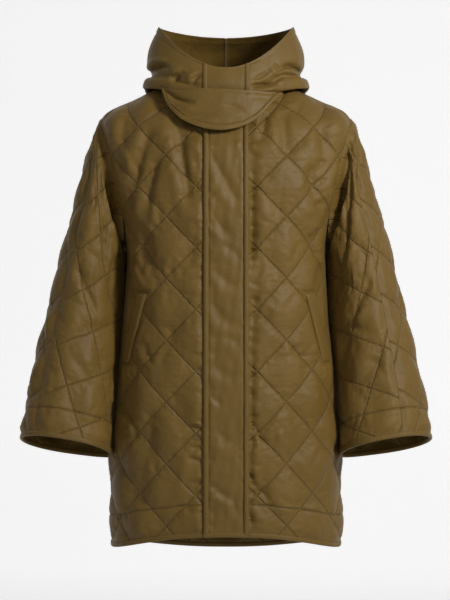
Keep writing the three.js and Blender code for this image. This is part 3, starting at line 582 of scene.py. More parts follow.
def inside_outline(points, outline):
    inside = np.zeros(len(points), bool)
    previous = np.roll(outline, 1, axis=0)
    for (xi, yi), (xj, yj) in zip(outline, previous):
        if yi == yj:
            continue
        crosses = (yi > points[:, 1]) != (yj > points[:, 1])
        inside ^= crosses & (points[:, 0] < (xj - xi) * (points[:, 1] - yi) / (yj - yi) + xi)
    return inside


def quilt_axes(turn):
    angle = turn + np.pi / 4
    return np.array([np.cos(angle), np.sin(angle)]), np.array([-np.sin(angle), np.cos(angle)])


def puffed_swatch():
    """Quilting squares of a padded swatch, with their stitched lines held, blown up and puckered.

    The result is a grid of moves along the square's two sides and out of the cloth.
    """
    squares = 4
    side = squares * CELLS + 1
    column, row = np.meshgrid(np.arange(side), np.arange(side))
    p, q = quilt_axes(0)
    flat = column[..., None] * p + row[..., None] * q
    rng = np.random.default_rng(5)
    start = 0.4 * rng.random((side, side)) + 0.6
    start *= np.sin(np.pi * (column % CELLS) / CELLS) * np.sin(np.pi * (row % CELLS) / CELLS)
    points = np.stack([flat[..., 0] * STEP, -start, flat[..., 1] * STEP], -1).reshape(-1, 3)
    corner = np.arange(side * side).reshape(side, side)
    faces = np.stack([corner[:-1, :-1], corner[:-1, 1:], corner[1:, 1:], corner[1:, :-1]], -1)
    swatch = mesh_object("swatch", points, faces.reshape(-1, 4).tolist())
    held = swatch.vertex_groups.new(name="stitched")
    on_line = ((column % CELLS == 0) | (row % CELLS == 0)).reshape(-1)
    held.add(np.flatnonzero(on_line).tolist(), 1.0, "REPLACE")
    cloth = swatch.modifiers.new("Puff", "CLOTH").settings
    cloth.vertex_group_mass = "stitched"
    cloth.quality = 8
    cloth.mass = 0.0003
    cloth.tension_stiffness = cloth.compression_stiffness = 6
    cloth.shear_stiffness = 2
    cloth.bending_stiffness = 0.02
    cloth.tension_damping = cloth.compression_damping = 8
    cloth.air_damping = 3
    cloth.use_pressure = True
    cloth.uniform_pressure_force = 2.5
    cloth.shrink_min = -0.035
    cloth.effector_weights.gravity = 0.15
    for number in range(1, 31):
        bpy.context.scene.frame_set(number)
    apply_modifiers(swatch)
    moved = vertices_of(swatch).reshape(side, side, 3) / MM - points.reshape(side, side, 3)
    bpy.data.objects.remove(swatch)
    bpy.context.scene.frame_set(1)
    out = -moved[..., 1] + start
    top = np.percentile(out, 99)
    print("swatch rises", round(float(top), 2))
    along = np.stack([moved[..., 0], moved[..., 2]], -1)
    return np.stack([along @ p, along @ q, out * PUFF / top], -1)


def vertices_of(obj):
    flat = np.empty(len(obj.data.vertices) * 3)
    obj.data.vertices.foreach_get("co", flat)
    return flat.reshape(-1, 3)


def mesh_object(name, points, faces, uv_maps=None, values=None):
    """A mesh of points in millimetres. uv_maps and values are given for each point."""
    name = f"{name}_made"
    mesh = bpy.data.meshes.new(name)
    mesh.from_pydata((np.asarray(points) * MM).tolist(), [], faces)
    loops = np.empty(len(mesh.loops), int)
    mesh.loops.foreach_get("vertex_index", loops)
    for map_name, coordinates in (uv_maps or {}).items():
        layer = mesh.uv_layers.new(name=map_name)
        layer.data.foreach_set("uv", np.asarray(coordinates, float)[loops].ravel())
    for value_name, numbers in (values or {}).items():
        layer = mesh.attributes.new(value_name, "FLOAT", "POINT")
        layer.data.foreach_set("value", np.asarray(numbers, float))
    mesh.shade_smooth()
    obj = bpy.data.objects.new(name, mesh)
    bpy.context.collection.objects.link(obj)
    return obj


def apply_modifiers(obj):
    bpy.context.view_layer.objects.active = obj
    for modifier in list(obj.modifiers):
        bpy.ops.object.modifier_apply(modifier=modifier.name)


def thicken(obj, wall):
    """Gives a sheet its thickness, inwards from its outer face."""
    modifier = obj.modifiers.new("Wall", "SOLIDIFY")
    modifier.thickness = wall * MM
    modifier.offset = -1
    modifier.use_rim = True
    apply_modifiers(obj)
    obj.select_set(True)
    bpy.ops.object.shade_smooth_by_angle(angle=np.radians(55))
    obj.select_set(False)


def settle(obj, material, slot, *nodes):
    """A finished piece: its material, its body, and the nodes it stands for."""
    obj.data.materials.append(material)
    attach(obj, "root")
    if nodes:
        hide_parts(*nodes)
    return obj


def face_out(faces, points, normals):
    """The faces, turned so that they look the way the normals do."""
    faces = np.asarray(faces)
    a, b, c = (points[faces[:, k]] for k in range(3))
    looks = np.sum(np.cross(b - a, c - a) * normals[faces[:, 0]])
    return faces if looks > 0 else faces[:, ::-1]


def grid_faces(rows, columns):
    corner = np.arange(rows * columns).reshape(rows, columns)
    faces = np.stack([corner[:-1, :-1], corner[:-1, 1:], corner[1:, 1:], corner[1:, :-1]], -1)
    return faces.reshape(-1, 4)


SWATCH = puffed_swatch()
SQUARE_PICKS = np.random.default_rng(11).integers(0, (len(SWATCH) - 1) // CELLS, (64, 64, 2))


def puff_at(pq):
    """The padded swatch's moves at places given in quilting squares. Each square takes one of its own."""
    square = np.floor(pq).astype(int)
    pick = SQUARE_PICKS[square[:, 0] % 64, square[:, 1] % 64]
    place = (pq - square + pick) * CELLS
    low = np.minimum(place.astype(int), len(SWATCH) - 2)
    share = place - low
    column, row = low.T
    across, up = share[:, :1], share[:, 1:]
    under = mix(SWATCH[row, column], SWATCH[row, column + 1], across)
    over = mix(SWATCH[row + 1, column], SWATCH[row + 1, column + 1], across)
    return mix(under, over, up)


sheets = []


def area_of(outline):
    x, y = outline.T
    return abs(np.sum(x * np.roll(y, -1) - np.roll(x, -1) * y)) / 2


def declare_sheet(obj, flat, area):
    width, length = (np.ptp(flat[:, k]) * MM for k in range(2))
    sheets.append((obj.name, round(width, 3), round(length, 3), round(area * 1e-6, 4)))


def quilted_piece(name, panel, places, side, quilt, shape, mirrored, material, sewn, push=lambda base: 0):
    """One quilted piece of a surface inside an outline of places, with stitches along the places sewn.

    shape gives for its points how far the quilting is pressed flat, from 0 to 1, their distance from
    the line that sews its facing, and how far creases push them in.
    """
    outline = panel.flat(places[:, 0], places[:, 1])
    p_way, q_way = quilt_axes(quilt["turn"])
    shift = np.array(quilt["shift"])
    reach = int(np.max(np.linalg.norm(outline - shift, axis=1)) / STEP) + 2
    steps = np.arange(-reach, reach + 1)
    i, j = np.meshgrid(steps, steps)
    lattice = shift + STEP * (i[..., None] * p_way + j[..., None] * q_way).reshape(-1, 2)
    low, high = outline.min(0), outline.max(0)
    lattice = lattice[np.all((lattice > low) & (lattice < high), axis=1)]
    lattice = lattice[inside_outline(lattice, outline)]
    lattice = lattice[edge_distance(lattice, outline) > 0.55 * STEP]
    flat = np.concatenate([outline, lattice])
    nudged = flat + 1e-7 * flat[:, ::-1] * flat[:, 1:]
    ring = [(k, (k + 1) % len(outline)) for k in range(len(outline))]
    result = delaunay_2d_cdt([Vector(point) for point in nudged.tolist()], ring, [], 1, 1e-6)
    sources = np.array([ids[0] for ids in result[3]])
    faces = sources[np.array(result[2])]
    uv = np.concatenate([places, panel.find(lattice)])

    base = panel.surface(uv[:, 0], uv[:, 1])
    normal = normal_of(panel.surface, uv[:, 0], uv[:, 1], side)
    across = panel.surface(uv[:, 0] + 0.01, uv[:, 1]) - panel.surface(uv[:, 0] - 0.01, uv[:, 1])
    s_way = unit(across) * np.sign(panel.u[1] - panel.u[0])
    t_way = unit(np.cross(normal, s_way))
    upward = panel.surface(uv[:, 0], uv[:, 1] + 0.01) - panel.surface(uv[:, 0], uv[:, 1] - 0.01)
    t_way *= np.sign(np.sum(t_way * upward, axis=1, keepdims=True))
    pq = np.stack([(flat - shift) @ p_way, (flat - shift) @ q_way], -1) / QUILT
    edge = edge_distance(flat, outline)
    pressed, facing, crease = shape(base, uv, flat, edge)
    groove = 1.6 * np.exp(-((facing / 3) ** 2))
    fade = ease(edge / SEAM_FADE) * (1 - pressed)
    puff = puff_at(pq) * fade[:, None]
    p_move, q_move, rise = puff.T
    s_move = p_move * p_way[0] + q_move * q_way[0]
    t_move = p_move * p_way[1] + q_move * q_way[1]
    height = np.maximum(STITCHED + rise - groove, COVERED - 1) - crease
    height = np.where(pressed > 0, mix(height, COVERED - 0.4 * crease, pressed), height)
    points = base + height[:, None] * normal + s_move[:, None] * s_way + t_move[:, None] * t_way
    points[:, 0] += push(base)
    points[:, 0] *= -1 if mirrored else 1
    looks = normal * ([-1, 1, 1] if mirrored else [1, 1, 1])
    faces = face_out(faces, points, looks)
    maps = {"cloth": flat * MM, "quilt": pq}
    obj = mesh_object(name, points, faces.tolist(), maps, {"facing": facing})
    quilting_stitches(f"quilting_{name}", points, looks, faces, pq, pressed)
    thicken(obj, WALL)
    settle(obj, material, "shell", name)
    declare_sheet(obj, outline, area_of(outline))
    flip = [-1, 1, 1] if mirrored else [1, 1, 1]
    out = normal_of(panel.surface, sewn[:, 0], sewn[:, 1], side)
    topstitch(f"facing_{name}", panel.surface(sewn[:, 0], sewn[:, 1]) * flip, out * flip, on=obj)


def stitch_solids(name, starts, ends, normals, radius, material):
    """Short stitches of thread as one mesh, each a slim four-sided spindle."""
    way = ends - starts
    middle = (starts + ends) / 2 + normals * radius * 0.5
    beside = unit(np.cross(way, normals)) * radius
    out = normals * radius
    points = np.stack([starts + 0.1 * way, middle + beside, middle + out, middle - beside, middle - out,
                       ends - 0.1 * way], 1)
    first = (np.arange(len(starts)) * 6)[:, None, None]
    one = np.array([(0, 1, 2), (0, 2, 3), (0, 3, 4), (0, 4, 1), (5, 2, 1), (5, 3, 2), (5, 4, 3), (5, 1, 4)])
    faces = (first + one[:, ::-1]).reshape(-1, 3)
    obj = mesh_object(name, points.reshape(-1, 3), faces.tolist())
    return settle(obj, material, "shell")


def quilting_stitches(name, points, normals, faces, pq, pressed):
    edges = np.concatenate([faces[:, [0, 1]], faces[:, [1, 2]], faces[:, [2, 0]]])
    edges = np.unique(np.sort(edges, axis=1), axis=0)
    near = np.abs(pq - np.round(pq)) < 1e-4
    same = np.abs(pq[edges[:, 0]] - pq[edges[:, 1]]) < 1e-4
    on_line = np.any(near[edges[:, 0]] & near[edges[:, 1]] & same, axis=1)
    open_cloth = (pressed[edges[:, 0]] < 0.5) & (pressed[edges[:, 1]] < 0.5)
    a, b = edges[on_line & open_cloth].T
    stitch_solids(name, points[a], points[b], unit(normals[a] + normals[b]), 0.34, THREAD)


def topstitch(name, points, normals, pitch=3.6, on=None):
    """A row of stitches along points, laid on the outer face of a piece where one is given."""
    if on is not None:
        tree = BVHTree.FromPolygons(vertices_of(on).tolist(), [tuple(f.vertices) for f in on.data.polygons])
        found = []
        for point, normal in zip(points * MM, normals):
            start = Vector(point + normal * 0.03)
            hit = tree.ray_cast(start, Vector(-normal), 0.06)[0]
            found.append(point if hit is None else np.array(hit))
        points = np.array(found) / MM
    lengths = np.concatenate([[0], np.cumsum(np.linalg.norm(np.diff(points, axis=0), axis=1))])
    count = int(lengths[-1] / pitch)
    read = lambda values, at: np.stack([np.interp(at, lengths, values[:, k]) for k in range(3)], -1)
    at = np.arange(count) * pitch
    starts, ends = read(points, at), read(points, at + 0.82 * pitch)
    return stitch_solids(name, starts, ends, unit(read(normals, at)), 0.36, THREAD)


def grid_piece(name, points, normals, uv, wall, mirrored=False, values=None):
    """A plain piece from a grid of outer points."""
    rows, columns = points.shape[:2]
    flip = [-1, 1, 1] if mirrored else [1, 1, 1]
    points = (points * flip).reshape(-1, 3)
    normals = (normals * flip).reshape(-1, 3)
    faces = face_out(grid_faces(rows, columns), points, normals)
    flat = uv.reshape(-1, 2)
    values = {key: number.reshape(-1) for key, number in (values or {}).items()}
    obj = mesh_object(name, points, faces.tolist(), {"cloth": flat * MM}, values)
    thicken(obj, wall)
    return obj


def lengths_of(grid):
    """Flat coordinates of a grid of points: lengths across from its middle column, and up."""
    across = np.linalg.norm(np.diff(grid, axis=1), axis=-1)
    s = np.concatenate([np.zeros((len(grid), 1)), np.cumsum(across, axis=1)], axis=1)
    up = np.linalg.norm(np.diff(grid, axis=0), axis=-1)
    t = np.concatenate([np.zeros((1, grid.shape[1])), np.cumsum(up, axis=0)])
    return np.stack([s - s[:, s.shape[1] // 2][:, None], t], -1)


# Materials
def socket(group, name, kind, in_out, value=None):
    item = group.interface.new_socket(name=name, in_out=in_out, socket_type=kind)
    if value is not None:
        item.default_value = value


class Nodes:
    """Adds shader nodes to a tree and links them by plain calls."""

    def __init__(self, tree):
        self.tree = tree

    def add(self, kind, inputs=None, **settings):
        node = self.tree.nodes.new(kind)
        for key, value in settings.items():
            setattr(node, key, value)
        for key, value in (inputs or {}).items():
            if isinstance(value, bpy.types.NodeSocket):
                self.tree.links.new(value, node.inputs[key])
            else:
                node.inputs[key].default_value = value
        return node

    def math(self, operation, *values):
        return self.add("ShaderNodeMath", dict(enumerate(values)), operation=operation).outputs[0]


def lines_group():
    """Sewn lines of quilting and of a facing: how near a line is, and the cloth's rise in millimetres."""
    group = bpy.data.node_groups.new("Sewn lines", "ShaderNodeTree")
    socket(group, "Squares", "NodeSocketVector", "INPUT")
    socket(group, "Facing", "NodeSocketFloat", "INPUT", 50.0)
    socket(group, "Side", "NodeSocketFloat", "INPUT", QUILT)
    socket(group, "Line", "NodeSocketFloat", "OUTPUT")
    socket(group, "Height", "NodeSocketFloat", "OUTPUT")
    n = Nodes(group)
    start = n.add("NodeGroupInput")
    end = n.add("NodeGroupOutput")
    parts = n.add("ShaderNodeSeparateXYZ", {0: start.outputs["Squares"]})
    away = n.math("ABSOLUTE", start.outputs["Facing"])
    for part in (parts.outputs[0], parts.outputs[1]):
        off_line = n.math("ABSOLUTE", n.math("SUBTRACT", n.math("FRACT", n.math("ADD", part, 0.5)), 0.5))
        away = n.math("MINIMUM", away, n.math("MULTIPLY", off_line, start.outputs["Side"]))
    line = n.math("EXPONENT", n.math("MULTIPLY", n.math("POWER", away, 2.0), -0.45))
    beside = n.math("EXPONENT", n.math("MULTIPLY", away, -0.14))
    gathers = n.add("ShaderNodeTexNoise", {"Vector": start.outputs["Squares"], "Scale": 13.0, "Detail": 2.0})
    gather = n.math("MULTIPLY", n.math("SUBTRACT", gathers.outputs["Fac"], 0.5), n.math("MULTIPLY", beside, 2.2))
    n.tree.links.new(line, end.inputs["Line"])
    n.tree.links.new(n.math("SUBTRACT", gather, n.math("MULTIPLY", line, 1.3)), end.inputs["Height"])
    return group


def weave_group():
    """Plain weave and the cloth's own unevenness, from lengths on the flat cloth."""
    group = bpy.data.node_groups.new("Plain weave", "ShaderNodeTree")
    socket(group, "Flat", "NodeSocketVector", "INPUT")
    socket(group, "Thread", "NodeSocketFloat", "INPUT", 0.0006)
    socket(group, "Height", "NodeSocketFloat", "OUTPUT")
    socket(group, "Tone", "NodeSocketFloat", "OUTPUT")
    n = Nodes(group)
    start = n.add("NodeGroupInput")
    end = n.add("NodeGroupOutput")
    parts = n.add("ShaderNodeSeparateXYZ", {0: start.outputs["Flat"]})
    turns = n.math("DIVIDE", 2 * np.pi, start.outputs["Thread"])
    warp = n.math("SINE", n.math("MULTIPLY", parts.outputs[0], turns))
    weft = n.math("SINE", n.math("MULTIPLY", parts.outputs[1], turns))
    weave = n.math("MULTIPLY", warp, weft)
    slub = n.add("ShaderNodeMapping", {"Vector": start.outputs["Flat"], "Scale": (900, 60, 60)})
    streak = n.add("ShaderNodeTexNoise", {"Vector": slub.outputs[0], "Scale": 1.0, "Detail": 3.0})
    crinkle = n.add("ShaderNodeTexNoise", {"Vector": start.outputs["Flat"], "Scale": 260.0, "Detail": 4.0})
    soft = n.add("ShaderNodeTexNoise", {"Vector": start.outputs["Flat"], "Scale": 45.0, "Detail": 3.0})
    height = n.math("ADD", n.math("MULTIPLY", weave, 0.015), n.math("MULTIPLY", crinkle.outputs["Fac"], 0.22))
    height = n.math("ADD", height, n.math("MULTIPLY", soft.outputs["Fac"], 1.5))
    n.tree.links.new(height, end.inputs["Height"])
    cloudy = n.add("ShaderNodeTexNoise", {"Vector": start.outputs["Flat"], "Scale": 11.0, "Detail": 5.0})
    tone = n.math("ADD", n.math("MULTIPLY", streak.outputs["Fac"], 0.35), cloudy.outputs["Fac"])
    n.tree.links.new(tone, end.inputs["Tone"])
    return group


WEAVE = weave_group()
LINES = lines_group()


def cloth_material(name, dark, light, roughness, sewn):
    """Khaki cloth with a soft sheen. sewn says that its mesh carries quilting squares and a facing, and that painted
    shade darkens the colour along their sewn lines.
    """
    material = bpy.data.materials.new(name)
    material.use_nodes = True
    material.node_tree.nodes.clear()
    n = Nodes(material.node_tree)
    flat = n.add("ShaderNodeUVMap", uv_map="cloth")
    weave = n.add("ShaderNodeGroup", node_tree=WEAVE)
    n.tree.links.new(flat.outputs[0], weave.inputs["Flat"])
    ramp = n.add("ShaderNodeValToRGB", {"Fac": n.math("MULTIPLY_ADD", weave.outputs["Tone"], 0.8, -0.08)})
    ramp.color_ramp.elements[0].color = (*dark, 1)
    ramp.color_ramp.elements[1].color = (*light, 1)
    colour = ramp.outputs[0]
    height = weave.outputs["Height"]
    if sewn:
        lines = n.add("ShaderNodeGroup", node_tree=LINES)
        n.tree.links.new(n.add("ShaderNodeUVMap", uv_map="quilt").outputs[0], lines.inputs["Squares"])
        facing = n.add("ShaderNodeAttribute", attribute_name="facing")
        n.tree.links.new(facing.outputs["Fac"], lines.inputs["Facing"])
        # Painted shade: along the quilting lines and the facing line the colour darkens towards a third of the dark
        # tone, as if their grooves lay in shadow.
        painted_line_shade = n.add("ShaderNodeMix", {0: n.math("MULTIPLY", lines.outputs["Line"], 0.3)}, data_type="RGBA")
        n.tree.links.new(colour, painted_line_shade.inputs[6])
        painted_line_shade.inputs[7].default_value = (dark[0] * 0.35, dark[1] * 0.35, dark[2] * 0.35, 1)
        colour = painted_line_shade.outputs[2]
        height = n.math("ADD", height, lines.outputs["Height"])
    bump = n.add("ShaderNodeBump", {"Height": height, "Strength": 1.0, "Distance": MM})
    rough = n.math("MULTIPLY_ADD", weave.outputs["Tone"], 0.12, roughness - 0.07)
    shader = n.add("ShaderNodeBsdfPrincipled", {"Base Color": colour, "Roughness": rough,
                                                "Normal": bump.outputs[0], "Sheen Weight": 0.12,
                                                "Sheen Roughness": 0.4, "Specular IOR Level": 0.28})
    shader.inputs["Sheen Tint"].default_value = (0.8, 0.66, 0.36, 1)
    end = n.add("ShaderNodeOutputMaterial", {"Surface": shader.outputs[0]})
    end.target = "ALL"
    return material


def thread_material():
    material = bpy.data.materials.new("Thread")
    material.use_nodes = True
    n = Nodes(material.node_tree)
    shader = material.node_tree.nodes["Principled BSDF"]
    place = n.add("ShaderNodeTexCoord").outputs["Object"]
    twist = n.add("ShaderNodeTexNoise", {"Vector": place, "Scale": 900.0, "Detail": 2.0})
    ramp = n.add("ShaderNodeValToRGB", {"Fac": twist.outputs["Fac"]})
    ramp.color_ramp.elements[0].color = (0.17, 0.105, 0.03, 1)
    ramp.color_ramp.elements[1].color = (0.42, 0.28, 0.10, 1)
    n.tree.links.new(ramp.outputs[0], shader.inputs["Base Color"])
    shader.inputs["Roughness"].default_value = 0.5
    return material


SHELL = cloth_material("Quilted shell cloth", (0.122, 0.070, 0.0125), (0.190, 0.112, 0.022), 0.54, True)
PLAIN = cloth_material("Plain shell cloth", (0.120, 0.070, 0.013), (0.185, 0.110, 0.022), 0.52, False)
TAPE = cloth_material("Binding tape", (0.116, 0.068, 0.013), (0.175, 0.104, 0.021), 0.55, False)
THREAD = thread_material()


# Body
def welt_share(flat):
    """How surely a flat point of a front lies under its pocket's welt."""
    depth = WELT["top"] - WELT["foot"]
    down = (WELT["top"] - BODY["z"][UNDERARM] - flat[:, 1]) / depth
    inner = mix(WELT["inner_top"], WELT["inner_foot"], down)
    outer = mix(WELT["outer_top"], WELT["outer_foot"], down)
    outside = np.maximum.reduce([inner - flat[:, 0], flat[:, 0] - outer, (np.abs(down - 0.5) - 0.5) * depth])
    return 1 - ease((outside - 1) / 7)


def beside_sleeve(base):
    """How flat the body is pressed where a sleeve lies against it."""
    row = np.interp(base[:, 2], BODY["z"], BODY["half_width"])
    near = 1 - ease((row - np.abs(base[:, 0]) - 3) / 10)
    return near * ease((-235 - base[:, 2]) / 30) * ease((base[:, 2] + 640) / 80)


def beside_body(base):
    """How flat a sleeve is pressed where it lies against the body, and how far it's moved out."""
    z = base[:, 2]
    row = {name: np.interp(z, BODY["z"], BODY[name]) for name in BODY}
    away = base[:, 1] - row["side_y"]
    depth = np.where(away < 0, row["front"], row["back"])
    share = np.maximum(1 - np.abs(away / depth) ** row["square"], 0)
    outline = row["half_width"] * share ** (1 / row["square"])
    gap = np.where(z < -215, base[:, 0] - outline, 50)
    return 1 - ease((gap - 3) / 9), np.maximum(-4.2 - gap, 0)


def front_shape(hand):
    def shape(base, uv, flat, edge):
        under_placket = 1 - ease((np.abs(base[:, 0]) - PLACKET_HALF - 1) / 6)
        pressed = np.maximum.reduce([under_placket, welt_share(flat), beside_sleeve(base)])
        x, z = hand * base[:, 0], base[:, 2]
        crease = 1.3 * crease_depth(x, z, FRONT_CREASES) + 1.4 * crease_depth(x, z, FRONT_SMALL)
        crease += 1.2 * crease_depth(x, z, GATHERS) + 1.3 * drape(x, z, 3)
        crease *= ease((edge + 2) / 20)
        facing = flat[:, 1] - np.interp(uv[:, 0], *FRONT_HEM) - HEM_FACING
        return pressed, facing, crease

    return shape


def back_shape(base, uv, flat, edge):
    x, z = -base[:, 0], base[:, 2]
    crease = crease_depth(x, z, BACK_CREASES) + crease_depth(x, z, BACK_SMALL) + drape(x, z, 8)
    crease *= ease((edge + 2) / 20)
    facing = flat[:, 1] - np.interp(np.abs(uv[:, 0]), *BACK_HEM) - HEM_FACING
    return beside_sleeve(base), facing, crease


def hem_line(panel):
    turns = np.linspace(0, np.pi / 2, 60)
    return turns, panel.flat(turns, np.full(60, HEM_LEVEL))[:, 1]


front_panel = Panel(body_point, (0, np.pi / 2), (0, NECK), UNDERARM)
back_panel = Panel(back_point, (0, np.pi / 2), (0, NECK), UNDERARM)
FRONT_HEM = hem_line(front_panel)
BACK_HEM = hem_line(back_panel)

CENTRE_GAP = np.radians(0.2)


def add_fronts():
    down_middle = line((CENTRE_GAP, NECK), (CENTRE_GAP, HEM_LEVEL))
    half = body_outline(body_point, CENTRE_GAP)
    places = np.concatenate([half, along_path(body_point, down_middle, STEP)])
    turns = np.linspace(0.19, SIDE_TURN - 0.01, 120)
    sewn = front_panel.row(turns, np.interp(turns, *FRONT_HEM) + HEM_FACING)
    for name, hand in HANDS.items():
        quilted_piece(f"front_{name}", front_panel, places, 1, BODY_QUILT, front_shape(hand), hand < 0, SHELL, sewn)
        add_welt(name, hand)


def add_welt(name, hand):
    down = np.linspace(0, 1, 44)[:, None]
    across = np.linspace(0, 1, 13)[None, :]
    inner = mix(WELT["inner_top"], WELT["inner_foot"], down)
    outer = mix(WELT["outer_top"], WELT["outer_foot"], down)
    s = mix(inner, outer, across)
    t = mix(WELT["top"], WELT["foot"], down) - BODY["z"][UNDERARM] + 0 * across
    flat = np.stack([s, t], -1)
    uv = front_panel.find(flat.reshape(-1, 2))
    normal = normal_of(body_point, uv[:, 0], uv[:, 1]).reshape(*s.shape, 3)
    base = body_point(uv[:, 0], uv[:, 1]).reshape(*s.shape, 3)
    rolled = (1 - np.abs(2 * across - 1) ** 7) * (1 - np.abs(2 * down - 1) ** 30)
    height = -1.2 + 2.6 * rolled + 0.25 * np.sin(down * 23) * np.sin(across * np.pi)
    points = base + height[..., None] * normal
    node = f"pocket_welt_{name}"
    obj = grid_piece(node, points, normal, flat, 1.6, hand < 0)
    settle(obj, PLAIN, "shell", node)
    corners = flat[[0, 0, -1, -1], [0, -1, -1, 0]]
    declare_sheet(obj, flat.reshape(-1, 2), area_of(corners))
    flip = [hand, 1, 1]
    for column, edge_name in ((1, "outer"), (-2, "inner")):
        topstitch(f"welt_stitches_{edge_name}_{name}", points[:, column] * flip, normal[:, column] * flip)


def add_back():
    right = np.concatenate([body_outline(back_point, 0), [[0, NECK]]])
    left = right[1:-1][::-1] * [-1, 1]
    places = np.concatenate([right, left])
    turns = np.linspace(0.01 - SIDE_TURN, SIDE_TURN - 0.01, 240)
    sewn = back_panel.row(turns, np.interp(np.abs(turns), *BACK_HEM) + HEM_FACING)
    quilted_piece("back", back_panel, places, -1, BODY_QUILT, back_shape, False, SHELL, sewn)


# Sleeves
def sleeve_shape(turn_of, hand):
    def shape(base, uv, flat, edge):
        turn = np.degrees(turn_of(uv[:, 0], uv[:, 1]))
        around = (turn + 180) % 360 - 180
        down = flat_down(uv[:, 1])
        crease = drape(around * MM_A_DEGREE, down, 21 if hand > 0 else 34, 0.8)
        small = SLEEVE_SMALL["left" if hand > 0 else "right"]
        for wrap in (-360, 0, 360):
            x = (around + wrap) * MM_A_DEGREE
            crease += crease_depth(x, -down, SLEEVE_CREASES_FLAT) + crease_depth(x, down, small)
        crease = crease * ease((edge + 2) / 20)
        depth = 11 * ease((np.abs(around) - 25) / 45) + 17 * ease((np.abs(around) - 70) / 45)
        crease += depth * np.exp(-(((down - 14) / 10) ** 2)) * ease(edge / 8)
        return beside_body(base)[0], np.abs(flat[:, 1]) - CUFF_FACING, crease

    return shape


MM_A_DEGREE = 1.35
SLEEVE_CREASES_FLAT = dict(SLEEVE_CREASES)
for column_name in ("x", "foot_x"):
    SLEEVE_CREASES_FLAT[column_name] = SLEEVE_CREASES[column_name] * MM_A_DEGREE


def flat_down(ring):
    """Distance down the sleeve's middle from the armhole to a ring."""
    rings = np.linspace(0, CUFF, 200)
    middle = (sleeve_point(0.5 * np.pi, rings) + sleeve_point(1.5 * np.pi, rings)) / 2
    lengths = np.concatenate([[0], np.cumsum(np.linalg.norm(np.diff(middle, axis=0), axis=1))])
    return np.interp(ring, rings, lengths)


def add_sleeve(name, hand):
    top, cuff = SEAM_TURN[name]

    def seam_turn(ring):
        return np.radians(mix(top, cuff, ring / CUFF))

    for face, way in {"front": 1, "back": -1}.items():

        def turn_of(u, v, way=way):
            return mix(seam_turn(v), way * np.pi, u)

        def surface(u, v, turn_of=turn_of):
            return sleeve_point(turn_of(u, v), v)

        panel = Panel(surface, (0, 1), (0, CUFF), CUFF, 0.92)
        gap = 0.0012
        paths = [
            line((gap, SLEEVE_START), (1 - gap, SLEEVE_START)),
            line((1 - gap, SLEEVE_START), (1 - gap, CUFF_LEVEL)),
            line((1 - gap, CUFF_LEVEL), (gap, CUFF_LEVEL)),
            line((gap, CUFF_LEVEL), (gap, SLEEVE_START)),
        ]
        places = np.concatenate([along_path(surface, path, STEP) for path in paths])
        quilt = {"turn": way * SLEEVE_QUILT["turn"], "shift": SLEEVE_QUILT["shift"]}
        node = f"sleeve_{name}_{face}"
        sewn = panel.row(np.linspace(0.01, 0.99, 120), np.full(120, -CUFF_FACING))
        quilted_piece(node, panel, places, way, quilt, sleeve_shape(turn_of, hand), hand < 0, SHELL, sewn,
                      lambda base: beside_body(base)[1])
    turns = np.linspace(0, 2 * np.pi, 181)
    add_binding(f"cuff_binding_{name}", sleeve_point, turns, CUFF_BINDING_LEVEL, 1, hand < 0)


def add_binding(node, surface, turns, level, towards, mirrored=False, out=0.3, deeper=0.0):
    """A tape folded round an edge, puckered a little by its stitches."""
    around = 15
    ring = np.full(len(turns), level)
    normal = normal_of(surface, turns, ring)
    base = surface(turns, ring)
    down = unit(surface(turns, ring + 0.02 * towards) - base)
    middle = base + normal * ((COVERED - 4) / 2 + 0.15 + out)
    angle = np.radians(np.linspace(-82, 262, around))
    lengths = np.concatenate([[0], np.cumsum(np.linalg.norm(np.diff(base, axis=0), axis=1))])
    pucker = 1 + 0.05 * np.sin(lengths / 3.1) + 0.04 * np.sin(lengths / 7.7 + 1)
    depth = (BINDING_HALF_DEPTH + deeper) * pucker[:, None] * power(np.cos(angle), 0.6)
    drop = BINDING_HALF_HEIGHT * power(np.sin(angle), 0.6)
    points = middle[:, None] + depth[..., None] * normal[:, None] + drop[None, :, None] * down[:, None]
    section = np.linalg.norm(np.diff(points, axis=1), axis=-1).mean(0)
    folds = np.concatenate([[0], np.cumsum(section)])
    flat = np.stack(np.broadcast_arrays(folds[None, :], lengths[:, None]), -1)
    outwards = np.cos(angle)[None, :, None] * normal[:, None] + np.sin(angle)[None, :, None] * down[:, None]
    obj = grid_piece(node, points, outwards, flat, BINDING_WALL, mirrored)
    settle(obj, TAPE, "binding", node)
    declare_sheet(obj, flat.reshape(-1, 2), folds[-1] * lengths[-1])
    flip = [-1, 1, 1] if mirrored else [1, 1, 1]
    topstitch(f"stitches_{node}", points[:, 1] * flip, unit(normal * flip))


def add_hem():
    level = HEM_BINDING_LEVEL
    start = float(turn_at_x(body_point, np.array(PLACKET_HALF + 1.0), np.array(level)))
    add_binding("hem_binding", body_point, np.linspace(start, 2 * np.pi - start, 420), level, -1)
    foot = float(turn_at_x(body_point, np.array(float(PLACKET_HALF)), np.array(level)))
    turns = np.linspace(-foot, foot, 26)
    add_binding("placket_foot_binding", body_point, turns, level, -1, out=1.7, deeper=1.2)


# Placket, collar, flap and hood
def strip_grid(surface, xs, levels, height):
    """A strip at given distances from the centre line. height takes x, z and returns a rise."""
    level, x = np.meshgrid(levels, xs, indexing="ij")
    turn = turn_at_x(surface, x, level)
    base = surface(turn, level)
    normal = normal_of(surface, turn, level)
    return base + height(base, x)[..., None] * normal, normal


PLACKET_LEVELS = np.linspace(HEM_LEVEL + 0.01, NECK, 230)


